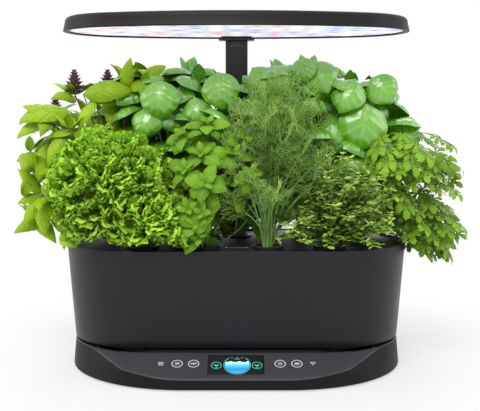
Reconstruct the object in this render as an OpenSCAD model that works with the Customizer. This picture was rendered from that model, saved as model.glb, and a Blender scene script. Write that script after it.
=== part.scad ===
// Countertop hydroponic garden: lamp hood on a telescoping mast, lift-out water bowl with a
// nine-pod grow deck, and a low base with a sloped touch panel.
// Millimetres. +X is to the right seen from the front, +Y to the back, +Z up. The origin lies on
// the table, under the middle of the base.

/* [Base] */
// Width of the base at the table
base_w = 408; // [396:1:420]
// Depth of the base at the table, twice the radius of its round ends
base_d = 288; // [280:1:300]
// Height of the flat top of the base
base_h = 33.5; // [32:0.5:37]
// Wall thickness of the base housing
base_wall = 3; // [2.5:0.5:3.5]
// Width across the upper edge of the base
brow_w = 403.2; // [392:0.2:408]
// Depth of the control panel, seen from above
panel_run = 42; // [40:1:45]
// Width over which the upper edge keeps the full depth
shoulder_w = 260; // [220:1:280]
// Slope of the control panel
panel_slope = 25.4; // [22:0.1:26]
// Height of the feet below the housing
foot_h = 1.5; // [1:0.5:3]
// Radius of each rubber foot
foot_r = 9; // [6:0.5:10]

/* [Control panel] */
// Width of the display window
display_w = 64; // [50:1:70]
// Length of the display window down the slope
display_l = 33.5; // [26:0.5:34]
// Distance of the window from the panel's lower edge
display_low = 8.6; // [8:0.1:10]
// Thickness of the display window
window_t = 1.5; // [1:0.1:2]
// Thickness of the display module
module_t = 3.6; // [2:0.1:4]
// Length of the touch board
touch_w = 200; // [190:1:210]

/* [Bowl] */
// Width of the bowl at its bottom edge
bowl_low_w = 404; // [390:1:405]
// Depth of the bowl at its bottom edge
bowl_low_d = 182; // [176:1:186]
// Width of the bowl at its rim
bowl_rim_w = 421.2; // [410:0.2:424]
// Depth of the bowl at its rim
bowl_rim_d = 212; // [204:1:214]
// Height of the bowl's bottom edge above the table
bowl_low_z = 35; // [34.5:0.5:39]
// Height of the bowl's rim above the table
bowl_rim_z = 152.6; // [146:0.2:156]
// Wall thickness of the bowl above its ledge
bowl_wall = 2.4; // [2:0.2:3]
// Width of the ledge that carries the deck
ledge_w = 2.4; // [2:0.2:3]
// Thickness of the bowl's floor
bowl_floor = 3; // [2:0.5:4]

/* [Grow deck] */
// Thickness of the grow deck
deck_t = 3; // [2:0.5:3.5]
// Distance between pods in the rear row
pod_pitch = 75; // [70:1:76]
// Distance of both pod rows from the middle
row_y = 50; // [47:1:52]
// Pods in the rear row, the front row has one fewer
rear_pods = 5; // [5:1:5]
// Radius of each pod's hole
pod_hole_r = 16.9; // [16.7:0.1:17.4]
// Outer radius of a basket under its lip
basket_top_r = 16.4; // [16:0.1:16.5]
// Outer radius of a basket at its bottom
basket_low_r = 12.4; // [11:0.1:14]
// Radius of a basket's lip
basket_lip_r = 19; // [18.5:0.1:19.5]
// Length of a basket under its lip
basket_h = 52; // [44:1:54]
// Wall thickness of a basket
basket_wall = 1.3; // [1:0.1:1.6]
// Slots round a basket
basket_slots = 8; // [6:1:10]
// Width of the fill port
port_w = 34; // [28:1:36]
// Length of the fill port, front to back
port_l = 20; // [16:1:22]
// Distance from the bowl's rim in to the fill lid's hinge
lid_hinge_in = 35.6; // [34.6:0.1:36]
// Thickness of the fill lid
lid_t = 2; // [1.5:0.1:2.4]
// Radius of the fill lid's hinge pin
pin_r = 1; // [0.8:0.1:1.2]

/* [Pump and float] */
// Outer radius of the pump cover
pump_r = 26; // [23:0.5:30]
// Height of the pump cover
pump_h = 25; // [23:0.5:30]
// Radius of the impeller's shaft
shaft_r = 1.5; // [1.2:0.1:2]
// Radius of the impeller
impeller_r = 17; // [14:0.5:20]
// Blades on the impeller
impeller_blades = 6; // [5:1:8]
// Outer radius of the riser tube
riser_r = 8; // [7:0.5:8.5]
// Distance of the float from the middle
float_x = 178; // [174:1:182]
// Outer radius of the float
float_r = 14; // [10:0.5:15]
// Height of the float
float_h = 16; // [10:1:20]
// Radius of the float's post
post_r = 4; // [3:0.5:5]
// Travel of the float
float_travel = 75; // [60:1:80]

/* [Mast] */
// Width of the mast
mast_w = 30; // [28:0.5:34]
// Depth of the mast
mast_d = 18; // [17:0.5:20]
// Gap between the bowl's rim and the mast behind it
mast_behind = 3.5; // [2:0.5:4]
// Height of the top of the mast's fixed tube
mast_top_z = 405.5; // [403:0.1:406]
// Thickness of the fixed tube's front wall, which houses the button
mast_front_wall = 4.6; // [4.4:0.1:5]
// Wall thickness of the mast elsewhere
mast_wall = 1.9; // [1.5:0.1:2]
// Radius of the mast's long edges
mast_edge_r = 4; // [3:0.5:5]
// Wall thickness of the middle tube
middle_wall = 1.4; // [1:0.1:1.5]
// Wall thickness of the upper tube
upper_wall = 1.2; // [1:0.1:1.5]
// Gap between two sliding tubes
slide_gap = 0.3; // [0.2:0.05:0.4]
// Thickness of the cap on the middle tube
mast_cap_t = 1.6; // [1.2:0.1:2]
// Width of the release button
button_w = 20; // [16:0.5:20]
// Height of the release button
button_h = 6.2; // [5:0.1:7]
// Height of the button's flat edge above the table
button_z = 398; // [380:0.2:398]
// Travel of the button
button_travel = 1.2; // [0.8:0.1:1.4]

/* [Lamp hood] */
// Width of the hood at its lower edge
hood_w = 432; // [420:1:436]
// Depth of the hood at its lower edge
hood_d = 213.2; // [206:0.2:220]
// Radius of the hood's corners
hood_end_r = 86; // [80:1:92]
// Distance of the hood's middle behind the base's middle
hood_y = 22.9; // [20:0.1:24]
// Height of the hood's lower edge above the table
hood_z = 410.6; // [410:0.2:414]
// Height of the hood
hood_h = 17.4; // [16.4:0.2:20]
// Inward lean of the hood's wall
hood_lean = 12.5; // [8:0.5:16]
// Radius of the hood's upper edge
hood_edge_r = 6; // [4:0.5:7]
// Wall thickness of the hood
hood_wall = 2.5; // [2:0.1:3]
// Width of the lip round the light panel
hood_lip = 7; // [5:0.5:9]
// Depth of the light panel above the lip
panel_recess = 2; // [1:0.2:2.6]
// Thickness of the light panel
panel_t = 1.6; // [1:0.2:2]
// Thickness of the LED board
led_board_t = 1.6; // [1:0.2:2]
// Rows of LEDs
led_rows = 3; // [2:1:5]
// LEDs in each row
led_cols = 15; // [9:2:19]

/* [Plants] */
// Length of a large basil leaf
basil_leaf = 62; // [45:1:66]
// Width of a large basil leaf
basil_leaf_w = 40; // [26:1:44]
// Thickness of every leaf
leaf_t = 1.6; // [1.2:0.1:2]
// Radius of a thick stem
stem_r = 2.2; // [1.6:0.1:2.6]

/* [Hidden] */

skin = 0.01;               // overlap that joins two solids of one piece
seat_gap = 0.3;            // between a lifted piece and what it rests on
fit = 0.2;                 // round a piece that drops into an opening
run_gap = 0.05;            // radial clearance of a shaft in its hole
edge_r = 1.5;              // small rounding on moulded edges
loft_fn = 48;              // sides of a large lofted curve, a multiple of 4
round_fn = 48;             // sides of a small round
boss_fn = 16;              // sides of a screw boss in a moulded shell

// Base
base_low = foot_h;
brow_d = base_d - 2 * panel_run;
lid_hinge_y = bowl_rim_d / 2 - lid_hinge_in;
mast_y = bowl_rim_d / 2 + mast_behind;
panel_low_z = base_h - panel_run * tan(panel_slope);
roof_z = base_h - base_wall;
cover_t = 2.5;
cover_top = base_low + cover_t;
cover_gap = 0.7;
cover_w = base_w - 2 * (base_wall + cover_gap);
cover_d = base_d - 2 * (base_wall + cover_gap);
foot_sink = 1;
foot_places = [[140, 85], [-140, 85], [140, -85], [-140, -85], [0, -118], [0, 100]];
screw_places = [[120, 104], [-120, 104], [120, -104], [-120, -104], [184, 0], [-184, 0], [62, 127], [-62, 127]];
boss_r = 4;
screw_r = 1.5;
screw_head_r = 3;
screw_head_t = 1.5;
screw_bite = 8;
vent_count = 7;
vent_pitch = 7;
vent_w = 3;
vent_l = 36;
vent_x = 60;

// Control panel, in the panel's own frame: v runs up the slope and w out of it
ledge_under_window = 3;
module_gap = 0.3;
module_top = -base_wall - module_gap;
touch_t = 1.6;
touch_l = 24;
touch_mid = display_low + display_l / 2 + 2;

// Main board and inlet
board_w = 110;
board_l = 56;
board_t = 1.6;
board_x = 108;
board_y = 24;
board_post_h = 4;
board_post_r = 3;
board_z = cover_top + board_post_h;
jack_x = 40;
jack_w = 9;
jack_l = 14;
jack_back = 0.4;           // gap between the jack's body and the wall
jack_h = 11;
jack_bore_r = 3.1;
jack_pin_r = 1;
jack_hole_r = 4.6;
jack_z = 15;

// Stator
stator_r = 20;
stator_z = 12;
stator_slots = 8;

// Bowl
bowl_h = bowl_rim_z - bowl_low_z;
function bowl_w(z) = bowl_low_w + (bowl_rim_w - bowl_low_w) * (z - bowl_low_z) / bowl_h;
function bowl_d(z) = bowl_low_d + (bowl_rim_d - bowl_low_d) * (z - bowl_low_z) / bowl_h;
floor_z = bowl_low_z + bowl_floor;
rim_above_deck = 3.3;
deck_top = bowl_rim_z - rim_above_deck;
deck_z = deck_top - deck_t;
ledge_z = deck_z - seat_gap;
foot_ring_in = 7;
foot_ring_w = 6;
foot_rib_w = 3;
foot_ribs = 9;

// Grow deck
front_pods = rear_pods - 1;
pods = concat(
    [for (i = [0:rear_pods - 1]) [(i - (rear_pods - 1) / 2) * pod_pitch, row_y]],
    [for (i = [0:front_pods - 1]) [(i - (front_pods - 1) / 2) * pod_pitch, -row_y]]);
deck_gap = 0.5;
collar_h = 1.2;
collar_r = basket_lip_r + 0.6;
collar_top = deck_top + collar_h;
rib_h = 5;
rib_w = 2;
lip_t = 1.5;
basket_z = collar_top - basket_h;
basket_floor_t = 1.5;
slot_w = 3.2;
slot_margin = 8;
floor_hole_r = 2.2;
sponge_gap = 0.3;
sponge_top = collar_top + 0.3;

// Fill lid
lid_over = 2;
lid_w = port_w + 2 * lid_over;
lid_z = deck_top + seat_gap;
lid_top = lid_z + lid_t;
barrel_r = pin_r + 1;
lid_shoulder = 2.4;
ear_in = 12;
ear_t = 3;
ear_gap = 0.4;
pin_len = 2 * (ear_in + ear_t);
port_back = lid_hinge_y + 3.6;
port_front = port_back + port_l;
lid_front = port_front + lid_over;
tab_w = 12;
tab_l = 3;

// Pump
pump_wall = 2;
pump_base_h = 3;
shaft_boss_r = 4;
shaft_top = floor_z + pump_h - pump_wall - 0.3;
rotor_r = 11;
rotor_z = floor_z + pump_base_h + 0.5;
rotor_h = 6;
blade_h = 8;
blade_t = 1.2;
blade_sweep = 50;
hub_r = 4;
disc_t = 1.5;
outlet_x = 15;
outlet_r = 5.6;
outlet_bore_r = 4;
outlet_h = 9;
inlet_slots = 12;
inlet_w = 4;
inlet_h = 7;
filter_t = 5;
filter_h = 16;
riser_wall = 2;
riser_top_gap = 3;

// Float
post_top_gap = 6;
float_edge = 3;

// Mast
mast_mid_y = mast_y + mast_d / 2;
mast_z = cover_top;
cavity_w = mast_w - 2 * mast_wall;
cavity_d = mast_d - mast_front_wall - mast_wall;
cavity_y = mast_y + mast_front_wall + cavity_d / 2;
middle_w = cavity_w - 2 * slide_gap;
middle_d = cavity_d - 2 * slide_gap;
bore_w = middle_w - 2 * middle_wall;
bore_d = middle_d - 2 * middle_wall;
upper_w = bore_w - 2 * slide_gap;
upper_d = bore_d - 2 * slide_gap;
tube_step = 5;
middle_z = mast_z + tube_step;
upper_z = middle_z + tube_step;
socket_wall = 4;
socket_h = 9;
socket_gap = 0.2;
cap_z = mast_top_z + seat_gap;
bracket_z = cap_z + mast_cap_t + seat_gap;
bracket_flange_t = hood_z - bracket_z;
mast_screw_z = base_h + 4.5;
mast_screw_x = 9;
mast_screw_r = 1.6;
mast_screw_head_r = 3;

// Release button
pocket_back = 0.8;
pocket_d = mast_front_wall - pocket_back;
button_t = 2.2;
button_gap = 0.3;
spring_t = 0.4;
spring_room = pocket_d - button_t;
spring_w = 10;
spring_h = 3;

// Hood
edge_steps = 3;
hood_straight = hood_h - hood_edge_r;
roof_t = hood_wall;
hood_roof_z = hood_z + hood_h - roof_t;
light_z = hood_z + panel_recess;
panel_over = 2.5;
panel_gap = 0.3;
chip_gap = 1;
chip_t = 0.8;
chip_w = 3.5;
board_under = light_z + panel_t + chip_gap + chip_t;
led_inset = 12;
notch_w = 2 * 20 + 1;
notch_y = mast_y - 5;
led_span_x = 344;
led_span_y = 112;
led_mid_y = hood_y - 8;
boss_places = [[165, 0], [-165, 0], [55, 62], [-55, 62], [55, -62], [-55, -62], [118, 0], [-118, 0]];
hood_boss_r = 4;
flange_w = 48;
flange_d = 20;
block_w = 36;
block_d = 9.6;
block_top = 416.2;
hood_screw_bite = 5;

// Plants
stem_z = sponge_top;
golden = 137.5;
stem_sides = 5;
leaf_root = 0.8;           // how far a leaf's foot reaches past the middle of its stem
leaf_base_r = 0.8;
plant_turn = [77, 2, 52, 47, 62, 82, 102, 87, 2];
bowl_room = 0.6;
lid_room = 4;
lid_room_w = lid_w + 4;
lid_room_z = lid_top + port_l + lid_room_w / 2;
cell_low = 120;            // heights between which the plants' rooms lean
cell_high = 400;
thai_cell = [-300, -111, -288, -126, -4, 112];
left_cell = [-110.5, -38, -125.5, 4, -4, 104];
centre_cell = [-37.5, 37, 4.5, 109, -4, 104];
right_cell = [37.5, 106, 109.5, 192, -4, 112];
flat_cell = [106.5, 260, 192.5, 320, -4, 112];
curly_cell = [-240, -75, -240, -80, -130, -5];
mint_cell = [-74.5, -6, -79.5, 32, -125, -5];
dill_cell = [-5.5, 74, 32.5, 104, -125, -5];
thyme_cell = [74.5, 210, 104.5, 210, -125, -5];
plants_reach = 286;        // from the middle to the farthest leaf on either side

// ---- Outlines ----

// Bar with half-round ends, the outline of the base, the bowl and the deck
module stadium(w, d) {
    for (side = [-1, 1]) translate([side * (w - d) / 2, 0]) circle(d = d, $fn = loft_fn);
    square([w - d, d], center = true);
}

// Points of a stadium, for lofts
function stadium_ring(w, d) = [for (k = [0:loft_fn - 1]) let (a = (k + 0.5) * 360 / loft_fn)
    [sign(cos(a)) * (w - d) / 2 + d / 2 * cos(a), d / 2 * sin(a)]];

// Points of the hood's outline: four arcs, the end arcs of radius end_r
function oval_ring(w, d, end_r) =
    let (run = w / 2 - end_r,
         side_r = (run * run + d * d / 4 - end_r * end_r) / (d - 2 * end_r),
         reach = side_r - d / 2,
         turn = atan2(reach, run))
    [for (k = [0:loft_fn - 1]) let (a = (k + 0.5) * 360 / loft_fn, steep = abs(sin(a)) > sin(turn))
        steep ? [side_r * cos(a), sign(sin(a)) * (side_r * abs(sin(a)) - reach)]
              : [sign(cos(a)) * run + end_r * cos(a), end_r * sin(a)]];

// Shell shape stretched through rings of equally many points, each given as [height, points]
module loft(rings) {
    n = len(rings[0][1]);
    last = len(rings) - 1;
    polyhedron(
        [for (ring = rings) for (p = ring[1]) [p[0], p[1], ring[0]]],
        concat([[for (k = [0:n - 1]) k]], [[for (k = [n - 1:-1:0]) last * n + k]],
               [for (r = [0:last - 1], k = [0:n - 1])
                    [r * n + k, (r + 1) * n + k, (r + 1) * n + (k + 1) % n, r * n + (k + 1) % n]]));
}

// Rectangle with round corners
module rounded(w, d, r, sides = round_fn) {
    for (x = [-1, 1], y = [-1, 1]) translate([x * (w / 2 - r), y * (d / 2 - r)])
        circle(r, $fn = sides);
    square([w - 2 * r, d], center = true);
    square([w, d - 2 * r], center = true);
}

module at_each(places) {
    for (place = places) translate([place[0], place[1], 0]) children();
}

// ---- Base ----

// Upper outline of the base: broad shoulders that run in straight to the bowl's round ends
function brow_ring(inset) =
    let (r = brow_d / 2 - inset,
         big_r = base_d / 2 - inset,
         mid = [(brow_w - brow_d) / 2, 0],
         big_mid = [(base_w - base_d) / 2, 0],
         shoulder_a = acos((shoulder_w / 2 - big_mid[0]) / big_r),
         shoulder = big_mid + big_r * [cos(shoulder_a), sin(shoulder_a)],
         off = shoulder - mid,
         end_a = atan2(off[1], off[0]) - acos(r / norm(off)),
         end = mid + r * [cos(end_a), sin(end_a)])
    [for (k = [0:loft_fn - 1])
        let (full = (k + 0.5) * 360 / loft_fn,
             sx = sign(cos(full)), sy = sign(sin(full)),
             a = acos(abs(cos(full))),
             p = a > shoulder_a ? big_mid + big_r * [cos(a), sin(a)]
               : a < end_a ? mid + r * [cos(a), sin(a)]
               : end + (shoulder - end) * (a - end_a) / (shoulder_a - end_a))
        [sx * p[0], sy * p[1]]];

// Roof of the base: flat behind, and falling away in front as the control panel
module panel_fall(top) {
    run = top / tan(panel_slope);
    loft([[0, stadium_ring(brow_w + 2 * run, brow_d + 2 * run)], [top, stadium_ring(brow_w, brow_d)]]);
    translate([-base_w, 0, 0]) cube([2 * base_w, base_d, top]);
}

// Solid shape of the base housing
module base_block() {
    inner_w = base_w - 2 * edge_r;
    inner_d = base_d - 2 * edge_r;
    intersection() {
        loft([[base_low, stadium_ring(inner_w, inner_d)], [base_low + edge_r, stadium_ring(base_w, base_d)],
              [base_h - edge_r, brow_ring(0)], [base_h, brow_ring(edge_r)]]);
        panel_fall(base_h);
    }
}

// Hollow of the base housing
module base_hollow() {
    intersection() {
        loft([[-1, stadium_ring(base_w - 2 * base_wall, base_d - 2 * base_wall)],
              [roof_z, brow_ring(base_wall)]]);
        panel_fall(roof_z);
    }
}

// Sloped frame of the control panel, its origin at the middle of the lower edge
module on_panel() {
    translate([0, -base_d / 2, panel_low_z]) rotate([panel_slope, 0, 0]) children();
}

module base_housing() {
    color("#26272a") difference() {
        union() {
            difference() {
                base_block();
                base_hollow();
            }
            intersection() {
                base_block();
                union() {
                    at_each(screw_places) base_boss();
                    mast_sleeve();
                }
            }
            mast_collar();
        }
        translate([0, mast_mid_y, -1]) linear_extrude(base_h * 2)
            rounded(mast_w + 2 * socket_gap, mast_d + 2 * socket_gap, mast_edge_r, boss_fn);
        at_each(screw_places) translate([0, 0, base_low - 1])
            cylinder(r = screw_r, h = cover_t + screw_bite + 1, $fn = boss_fn);
        on_panel() {
            translate([0, display_low + display_l / 2, -window_t])
                linear_extrude(2 * window_t) rounded(display_w + fit, display_l + fit, 2, boss_fn);
            translate([0, display_low + display_l / 2, -2 * base_wall])
                linear_extrude(3 * base_wall)
                rounded(display_w - 2 * ledge_under_window, display_l - 2 * ledge_under_window, 2, boss_fn);
        }
        translate([jack_x, base_d / 2 - 2 * base_wall, jack_z]) rotate([-90, 0, 0])
            cylinder(r = jack_hole_r, h = 4 * base_wall, $fn = 24);
        for (side = [-1, 1]) translate([side * mast_screw_x, mast_y + mast_d, mast_screw_z])
            rotate([-90, 0, 0]) cylinder(r = mast_screw_r, h = 4 * socket_wall, $fn = boss_fn);
    }
}

// Screw boss with a gusset under the roof
module base_boss() {
    translate([0, 0, cover_top]) cylinder(r = boss_r, h = base_h - cover_top, $fn = boss_fn);
    hull() {
        translate([-2 * boss_r, -0.6, roof_z - 1]) cube([4 * boss_r, 1.2, 2]);
        translate([-boss_r, -0.6, roof_z - 10]) cube([2 * boss_r, 1.2, 1]);
    }
}

module mast_sleeve() {
    translate([0, mast_mid_y, cover_top]) linear_extrude(base_h - cover_top)
        rounded(mast_w + 5, mast_d + 5, mast_edge_r, boss_fn);
}

// Collar that stands on the base round the mast
module mast_collar() {
    w = mast_w + 2 * socket_wall;
    d = mast_d + 2 * socket_wall;
    translate([0, mast_mid_y, 0]) hull() {
        translate([0, 0, roof_z]) linear_extrude(skin) rounded(w + 4, d + 2, mast_edge_r + 1, boss_fn);
        translate([0, 0, base_h + socket_h - 1]) linear_extrude(1) rounded(w, d, mast_edge_r, boss_fn);
    }
}

// Outline of the bottom cover at a height: the hollow's, a gap inside it
function cover_ring(z) =
    let (t = (z + 1) / (roof_z + 1),
         low = stadium_ring(cover_w, cover_d),
         high = brow_ring(base_wall + cover_gap))
    [for (k = [0:loft_fn - 1]) low[k] * (1 - t) + high[k] * t];

module base_bottom_cover() {
    color("#1d1e20") difference() {
        union() {
            loft([[base_low, cover_ring(base_low)], [cover_top, cover_ring(cover_top)]]);
            at_board_posts() cylinder(r = board_post_r, h = board_post_h, $fn = round_fn);
            translate([0, 0, cover_top]) difference() {
                cylinder(r = stator_r - 4, h = stator_z - cover_top, $fn = round_fn);
                translate([0, 0, -1]) cylinder(r = stator_r - 7, h = stator_z, $fn = round_fn);
            }
        }
        at_each(foot_places) translate([0, 0, base_low - 1])
            cylinder(r = foot_r + fit, h = foot_sink + 1, $fn = round_fn);
        at_each(screw_places) translate([0, 0, base_low - 1]) {
            cylinder(r = screw_r + fit, h = cover_t + 2, $fn = 24);
            cylinder(r = screw_head_r + fit, h = screw_head_t + 1, $fn = 24);
        }
        for (side = [-1, 1], i = [0:vent_count - 1])
            translate([side * vent_x - vent_l / 2, (i - (vent_count - 1) / 2) * vent_pitch - vent_w / 2, 0])
            cube([vent_l, vent_w, cover_top + 1]);
    }
}

module at_board_posts() {
    for (x = [-1, 1], y = [-1, 1])
        translate([board_x + x * (board_w / 2 - 5), board_y + y * (board_l / 2 - 5), cover_top])
        children();
}

module rubber_feet() {
    color("#2b2b2b") at_each(foot_places) rotate_extrude($fn = round_fn)
        polygon([[0, 0], [foot_r - 1, 0], [foot_r, 1], [foot_r, base_low + foot_sink],
                 [0, base_low + foot_sink]]);
}

module cover_screws() {
    color("silver") at_each(screw_places) translate([0, 0, base_low]) {
        cylinder(r = screw_head_r, h = screw_head_t, $fn = 24);
        cylinder(r = screw_r - fit / 2, h = cover_t + screw_bite - fit, $fn = 24);
    }
}

module display_window() {
    color("#0b0c0e") on_panel() translate([0, display_low + display_l / 2, -window_t])
        linear_extrude(window_t) rounded(display_w, display_l, 2);
}

module display_module() {
    color("#3c4148") on_panel()
        translate([-display_w / 2 + 1, display_low + 1, module_top - module_t])
        cube([display_w - 2, display_l - 2, module_t]);
}

// Capacitive board behind the panel, cut out for the display
module touch_board() {
    color("#1f6b3c") on_panel() difference() {
        translate([-touch_w / 2, touch_mid - touch_l / 2, module_top - touch_t])
            cube([touch_w, touch_l, touch_t]);
        translate([-display_w / 2 + 1 - fit, display_low, module_top - 2 * touch_t])
            cube([display_w - 2 + 2 * fit, 2 * display_l, 3 * touch_t]);
        translate([-display_w / 2 + 1 - fit, -display_l, module_top - 2 * touch_t])
            cube([display_w - 2 + 2 * fit, 3 * display_l, 3 * touch_t]);
    }
}

module main_board() {
    chips = [[-38, 12, 14, 14, 2], [-8, 12, 18, 12, 3], [22, -10, 10, 10, 6], [42, 14, 9, 16, 5],
             [-36, -16, 10, 7, 2.5]];
    color("#1f6b3c") translate([board_x, board_y, board_z]) {
        translate([-board_w / 2, -board_l / 2, 0]) cube([board_w, board_l, board_t]);
        for (chip = chips) translate([chip[0] - chip[2] / 2, chip[1] - chip[3] / 2, board_t])
            cube([chip[2], chip[3], chip[4]]);
    }
}

module dc_jack() {
    nose_y = base_d / 2;
    color("#151515") difference() {
        union() {
            translate([jack_x - jack_w / 2, base_d / 2 - base_wall - jack_back - jack_l, jack_z - jack_h / 2])
                cube([jack_w, jack_l, jack_h]);
            translate([jack_x, base_d / 2 - base_wall - 1, jack_z]) rotate([-90, 0, 0])
                cylinder(r = jack_hole_r - fit, h = base_wall + 1, $fn = round_fn);
        }
        translate([jack_x, nose_y - jack_l, jack_z]) rotate([-90, 0, 0])
            cylinder(r = jack_bore_r, h = jack_l + 1, $fn = round_fn);
    }
    color("silver") translate([jack_x, nose_y - jack_l, jack_z]) rotate([-90, 0, 0])
        cylinder(r = jack_pin_r, h = jack_l - 1.5, $fn = 24);
}

// Ring of poles under the bowl that turns the impeller's magnet
module pump_stator() {
    color("#b4672f") translate([0, 0, stator_z]) difference() {
        cylinder(r = stator_r, h = roof_z - seat_gap - stator_z, $fn = round_fn);
        translate([0, 0, -1]) cylinder(r = 5, h = base_h, $fn = round_fn);
        for (i = [0:stator_slots - 1]) rotate(i * 360 / stator_slots)
            translate([9, -1.5, 2]) cube([stator_r, 3, base_h]);
    }
}

// ---- Mast ----

module mast_lower() {
    color("#232427") translate([0, 0, mast_z]) difference() {
        translate([0, mast_mid_y, 0]) linear_extrude(mast_top_z - mast_z)
            rounded(mast_w, mast_d, mast_edge_r);
        translate([0, cavity_y, -1]) linear_extrude(mast_top_z)
            rounded(cavity_w, cavity_d, mast_edge_r - mast_wall);
        translate([0, mast_y, button_z - mast_z]) rotate([-90, 0, 0]) translate([0, 0, -1])
            linear_extrude(pocket_d + 1) button_outline(button_gap);
        for (side = [-1, 1]) translate([side * mast_screw_x, mast_y + mast_d + 1, mast_screw_z - mast_z])
            rotate([90, 0, 0]) cylinder(r = mast_screw_r - 0.3, h = mast_wall + 2, $fn = 24);
    }
}

// Arch with a flat lower edge, drawn so that a turn about X stands it up
module button_outline(grow) {
    r = (button_w * button_w / 4 + button_h * button_h) / (2 * button_h);
    intersection() {
        translate([0, r - button_h]) circle(r + grow, $fn = 2 * round_fn);
        translate([-button_w / 2 - grow, -button_h - grow]) square([button_w + 2 * grow, button_h + 2 * grow]);
    }
}

module mast_screws() {
    color("silver") for (side = [-1, 1])
        translate([side * mast_screw_x, mast_y + mast_d + socket_wall + 0.6, mast_screw_z]) {
            rotate([-90, 0, 0]) cylinder(r = mast_screw_head_r, h = 1.4, $fn = 24);
            rotate([90, 0, 0]) cylinder(r = mast_screw_r - 0.4, h = socket_wall + mast_wall, $fn = 24);
        }
}

module release_button() {
    color("#3a3b3f") translate([0, mast_y, button_z]) rotate([-90, 0, 0])
        linear_extrude(button_t) button_outline(0);
}

// Bowed strip between the button and the bottom of its pocket
module button_leaf_spring() {
    rise = spring_room - 2 * 0.1;
    r = (spring_w * spring_w / 4 + rise * rise) / (2 * rise);
    color("silver") translate([0, mast_y + button_t + 0.1, button_z + button_h / 2 - spring_h / 2])
        linear_extrude(spring_h) intersection() {
            translate([0, rise - spring_t - r + spring_t]) difference() {
                circle(r, $fn = 2 * loft_fn);
                circle(r - spring_t, $fn = 2 * loft_fn);
            }
            translate([-spring_w / 2, 0]) square([spring_w, rise]);
        }
}

module tube(w, d, wall, h, r) {
    linear_extrude(h) difference() {
        rounded(w, d, r);
        rounded(w - 2 * wall, d - 2 * wall, r - wall);
    }
}

module mast_middle() {
    color("#2b2c30") translate([0, cavity_y, 0]) {
        translate([0, 0, middle_z]) tube(middle_w, middle_d, middle_wall, cap_z - middle_z, 2);
        translate([0, 0, cap_z]) linear_extrude(mast_cap_t) difference() {
            translate([0, mast_mid_y - cavity_y]) rounded(mast_w, mast_d, mast_edge_r);
            rounded(bore_w, bore_d, 2 - middle_wall);
            translate([-mast_w, mast_y - cavity_y - mast_d]) square([2 * mast_w, mast_d + pocket_d]);
        }
    }
}

module mast_upper() {
    color("#303136") translate([0, cavity_y, upper_z])
        tube(upper_w, upper_d, upper_wall, block_top - 1 - upper_z, 1.6);
}

// ---- Bowl ----

// Points of the bowl's outline at a height, pulled in by a wall
function bowl_ring(z, inset) = [z, stadium_ring(bowl_w(z) - 2 * inset, bowl_d(z) - 2 * inset)];

module bowl() {
    color("#36373b") {
        difference() {
            loft([bowl_ring(bowl_low_z, edge_r), bowl_ring(bowl_low_z + edge_r, 0),
                  bowl_ring(bowl_rim_z - edge_r / 2, 0), bowl_ring(bowl_rim_z, edge_r / 2)]);
            loft([bowl_ring(floor_z, bowl_wall + ledge_w + edge_r),
                  bowl_ring(floor_z + edge_r, bowl_wall + ledge_w),
                  bowl_ring(ledge_z, bowl_wall + ledge_w), bowl_ring(ledge_z + skin, bowl_wall),
                  [bowl_rim_z + 1, bowl_ring(bowl_rim_z, bowl_wall)[1]]]);
        }
        bowl_foot();
        translate([0, 0, floor_z - skin]) ring(shaft_boss_r, shaft_r + 0.1, pump_base_h);
        translate([0, 0, floor_z - skin]) ring(pump_r + 3, pump_r + seat_gap, 2);
        translate([float_x, 0, floor_z - skin]) ring(post_r + 3, post_r + 0.1, 2);
    }
}

// Low foot with cross ribs, on which the bowl stands
module bowl_foot() {
    foot_z = base_h + seat_gap;
    w = bowl_low_w - 2 * foot_ring_in;
    d = bowl_low_d - 2 * foot_ring_in;
    h = bowl_low_z - foot_z + skin;
    translate([0, 0, foot_z]) difference() {
        loft([[0, stadium_ring(w, d)], [h, stadium_ring(w, d)]]);
        loft([[-1, stadium_ring(w - 2 * foot_ring_w, d - 2 * foot_ring_w)],
              [h + 1, stadium_ring(w - 2 * foot_ring_w, d - 2 * foot_ring_w)]]);
    }
    for (i = [0:foot_ribs - 1]) {
        x = (i - (foot_ribs - 1) / 2) * (w - d) / (foot_ribs - 1);
        translate([0, 0, foot_z]) hull() for (end = [-1, 1])
            translate([x - foot_rib_w / 2, end * (d / 2 - foot_ring_w) - 1, 0]) cube([foot_rib_w, 2, h]);
    }
}

module ring(outer, inner, h) {
    difference() {
        cylinder(r = outer, h = h, $fn = 24);
        translate([0, 0, 2 * skin]) cylinder(r = inner, h = h, $fn = 24);
    }
}

module impeller_shaft() {
    color("#e8e4da") translate([0, 0, floor_z + skin])
        cylinder(r = shaft_r, h = shaft_top - floor_z, $fn = round_fn);
}

module impeller() {
    color("#2f5d9e") translate([0, 0, rotor_z]) difference() {
        union() {
            cylinder(r = rotor_r, h = rotor_h, $fn = round_fn);
            translate([0, 0, rotor_h]) cylinder(r = impeller_r, h = disc_t, $fn = loft_fn);
            translate([0, 0, rotor_h]) cylinder(r = hub_r, h = disc_t + blade_h, $fn = round_fn);
            for (i = [0:impeller_blades - 1]) rotate(i * 360 / impeller_blades) impeller_blade();
        }
        translate([0, 0, -1]) cylinder(r = shaft_r + run_gap, h = 3 * blade_h, $fn = round_fn);
    }
}

// Backward-curved blade, a slice of a ring
module impeller_blade() {
    blade_r = impeller_r / 1.5;
    translate([0, 0, rotor_h + disc_t - 0.1]) linear_extrude(blade_h - 2) intersection() {
        translate([0, blade_r]) difference() {
            circle(blade_r, $fn = loft_fn);
            circle(blade_r - blade_t, $fn = loft_fn);
        }
        circle(impeller_r - 0.5, $fn = loft_fn);
        translate([0, -1]) square([2 * impeller_r, impeller_r]);
    }
}

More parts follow.
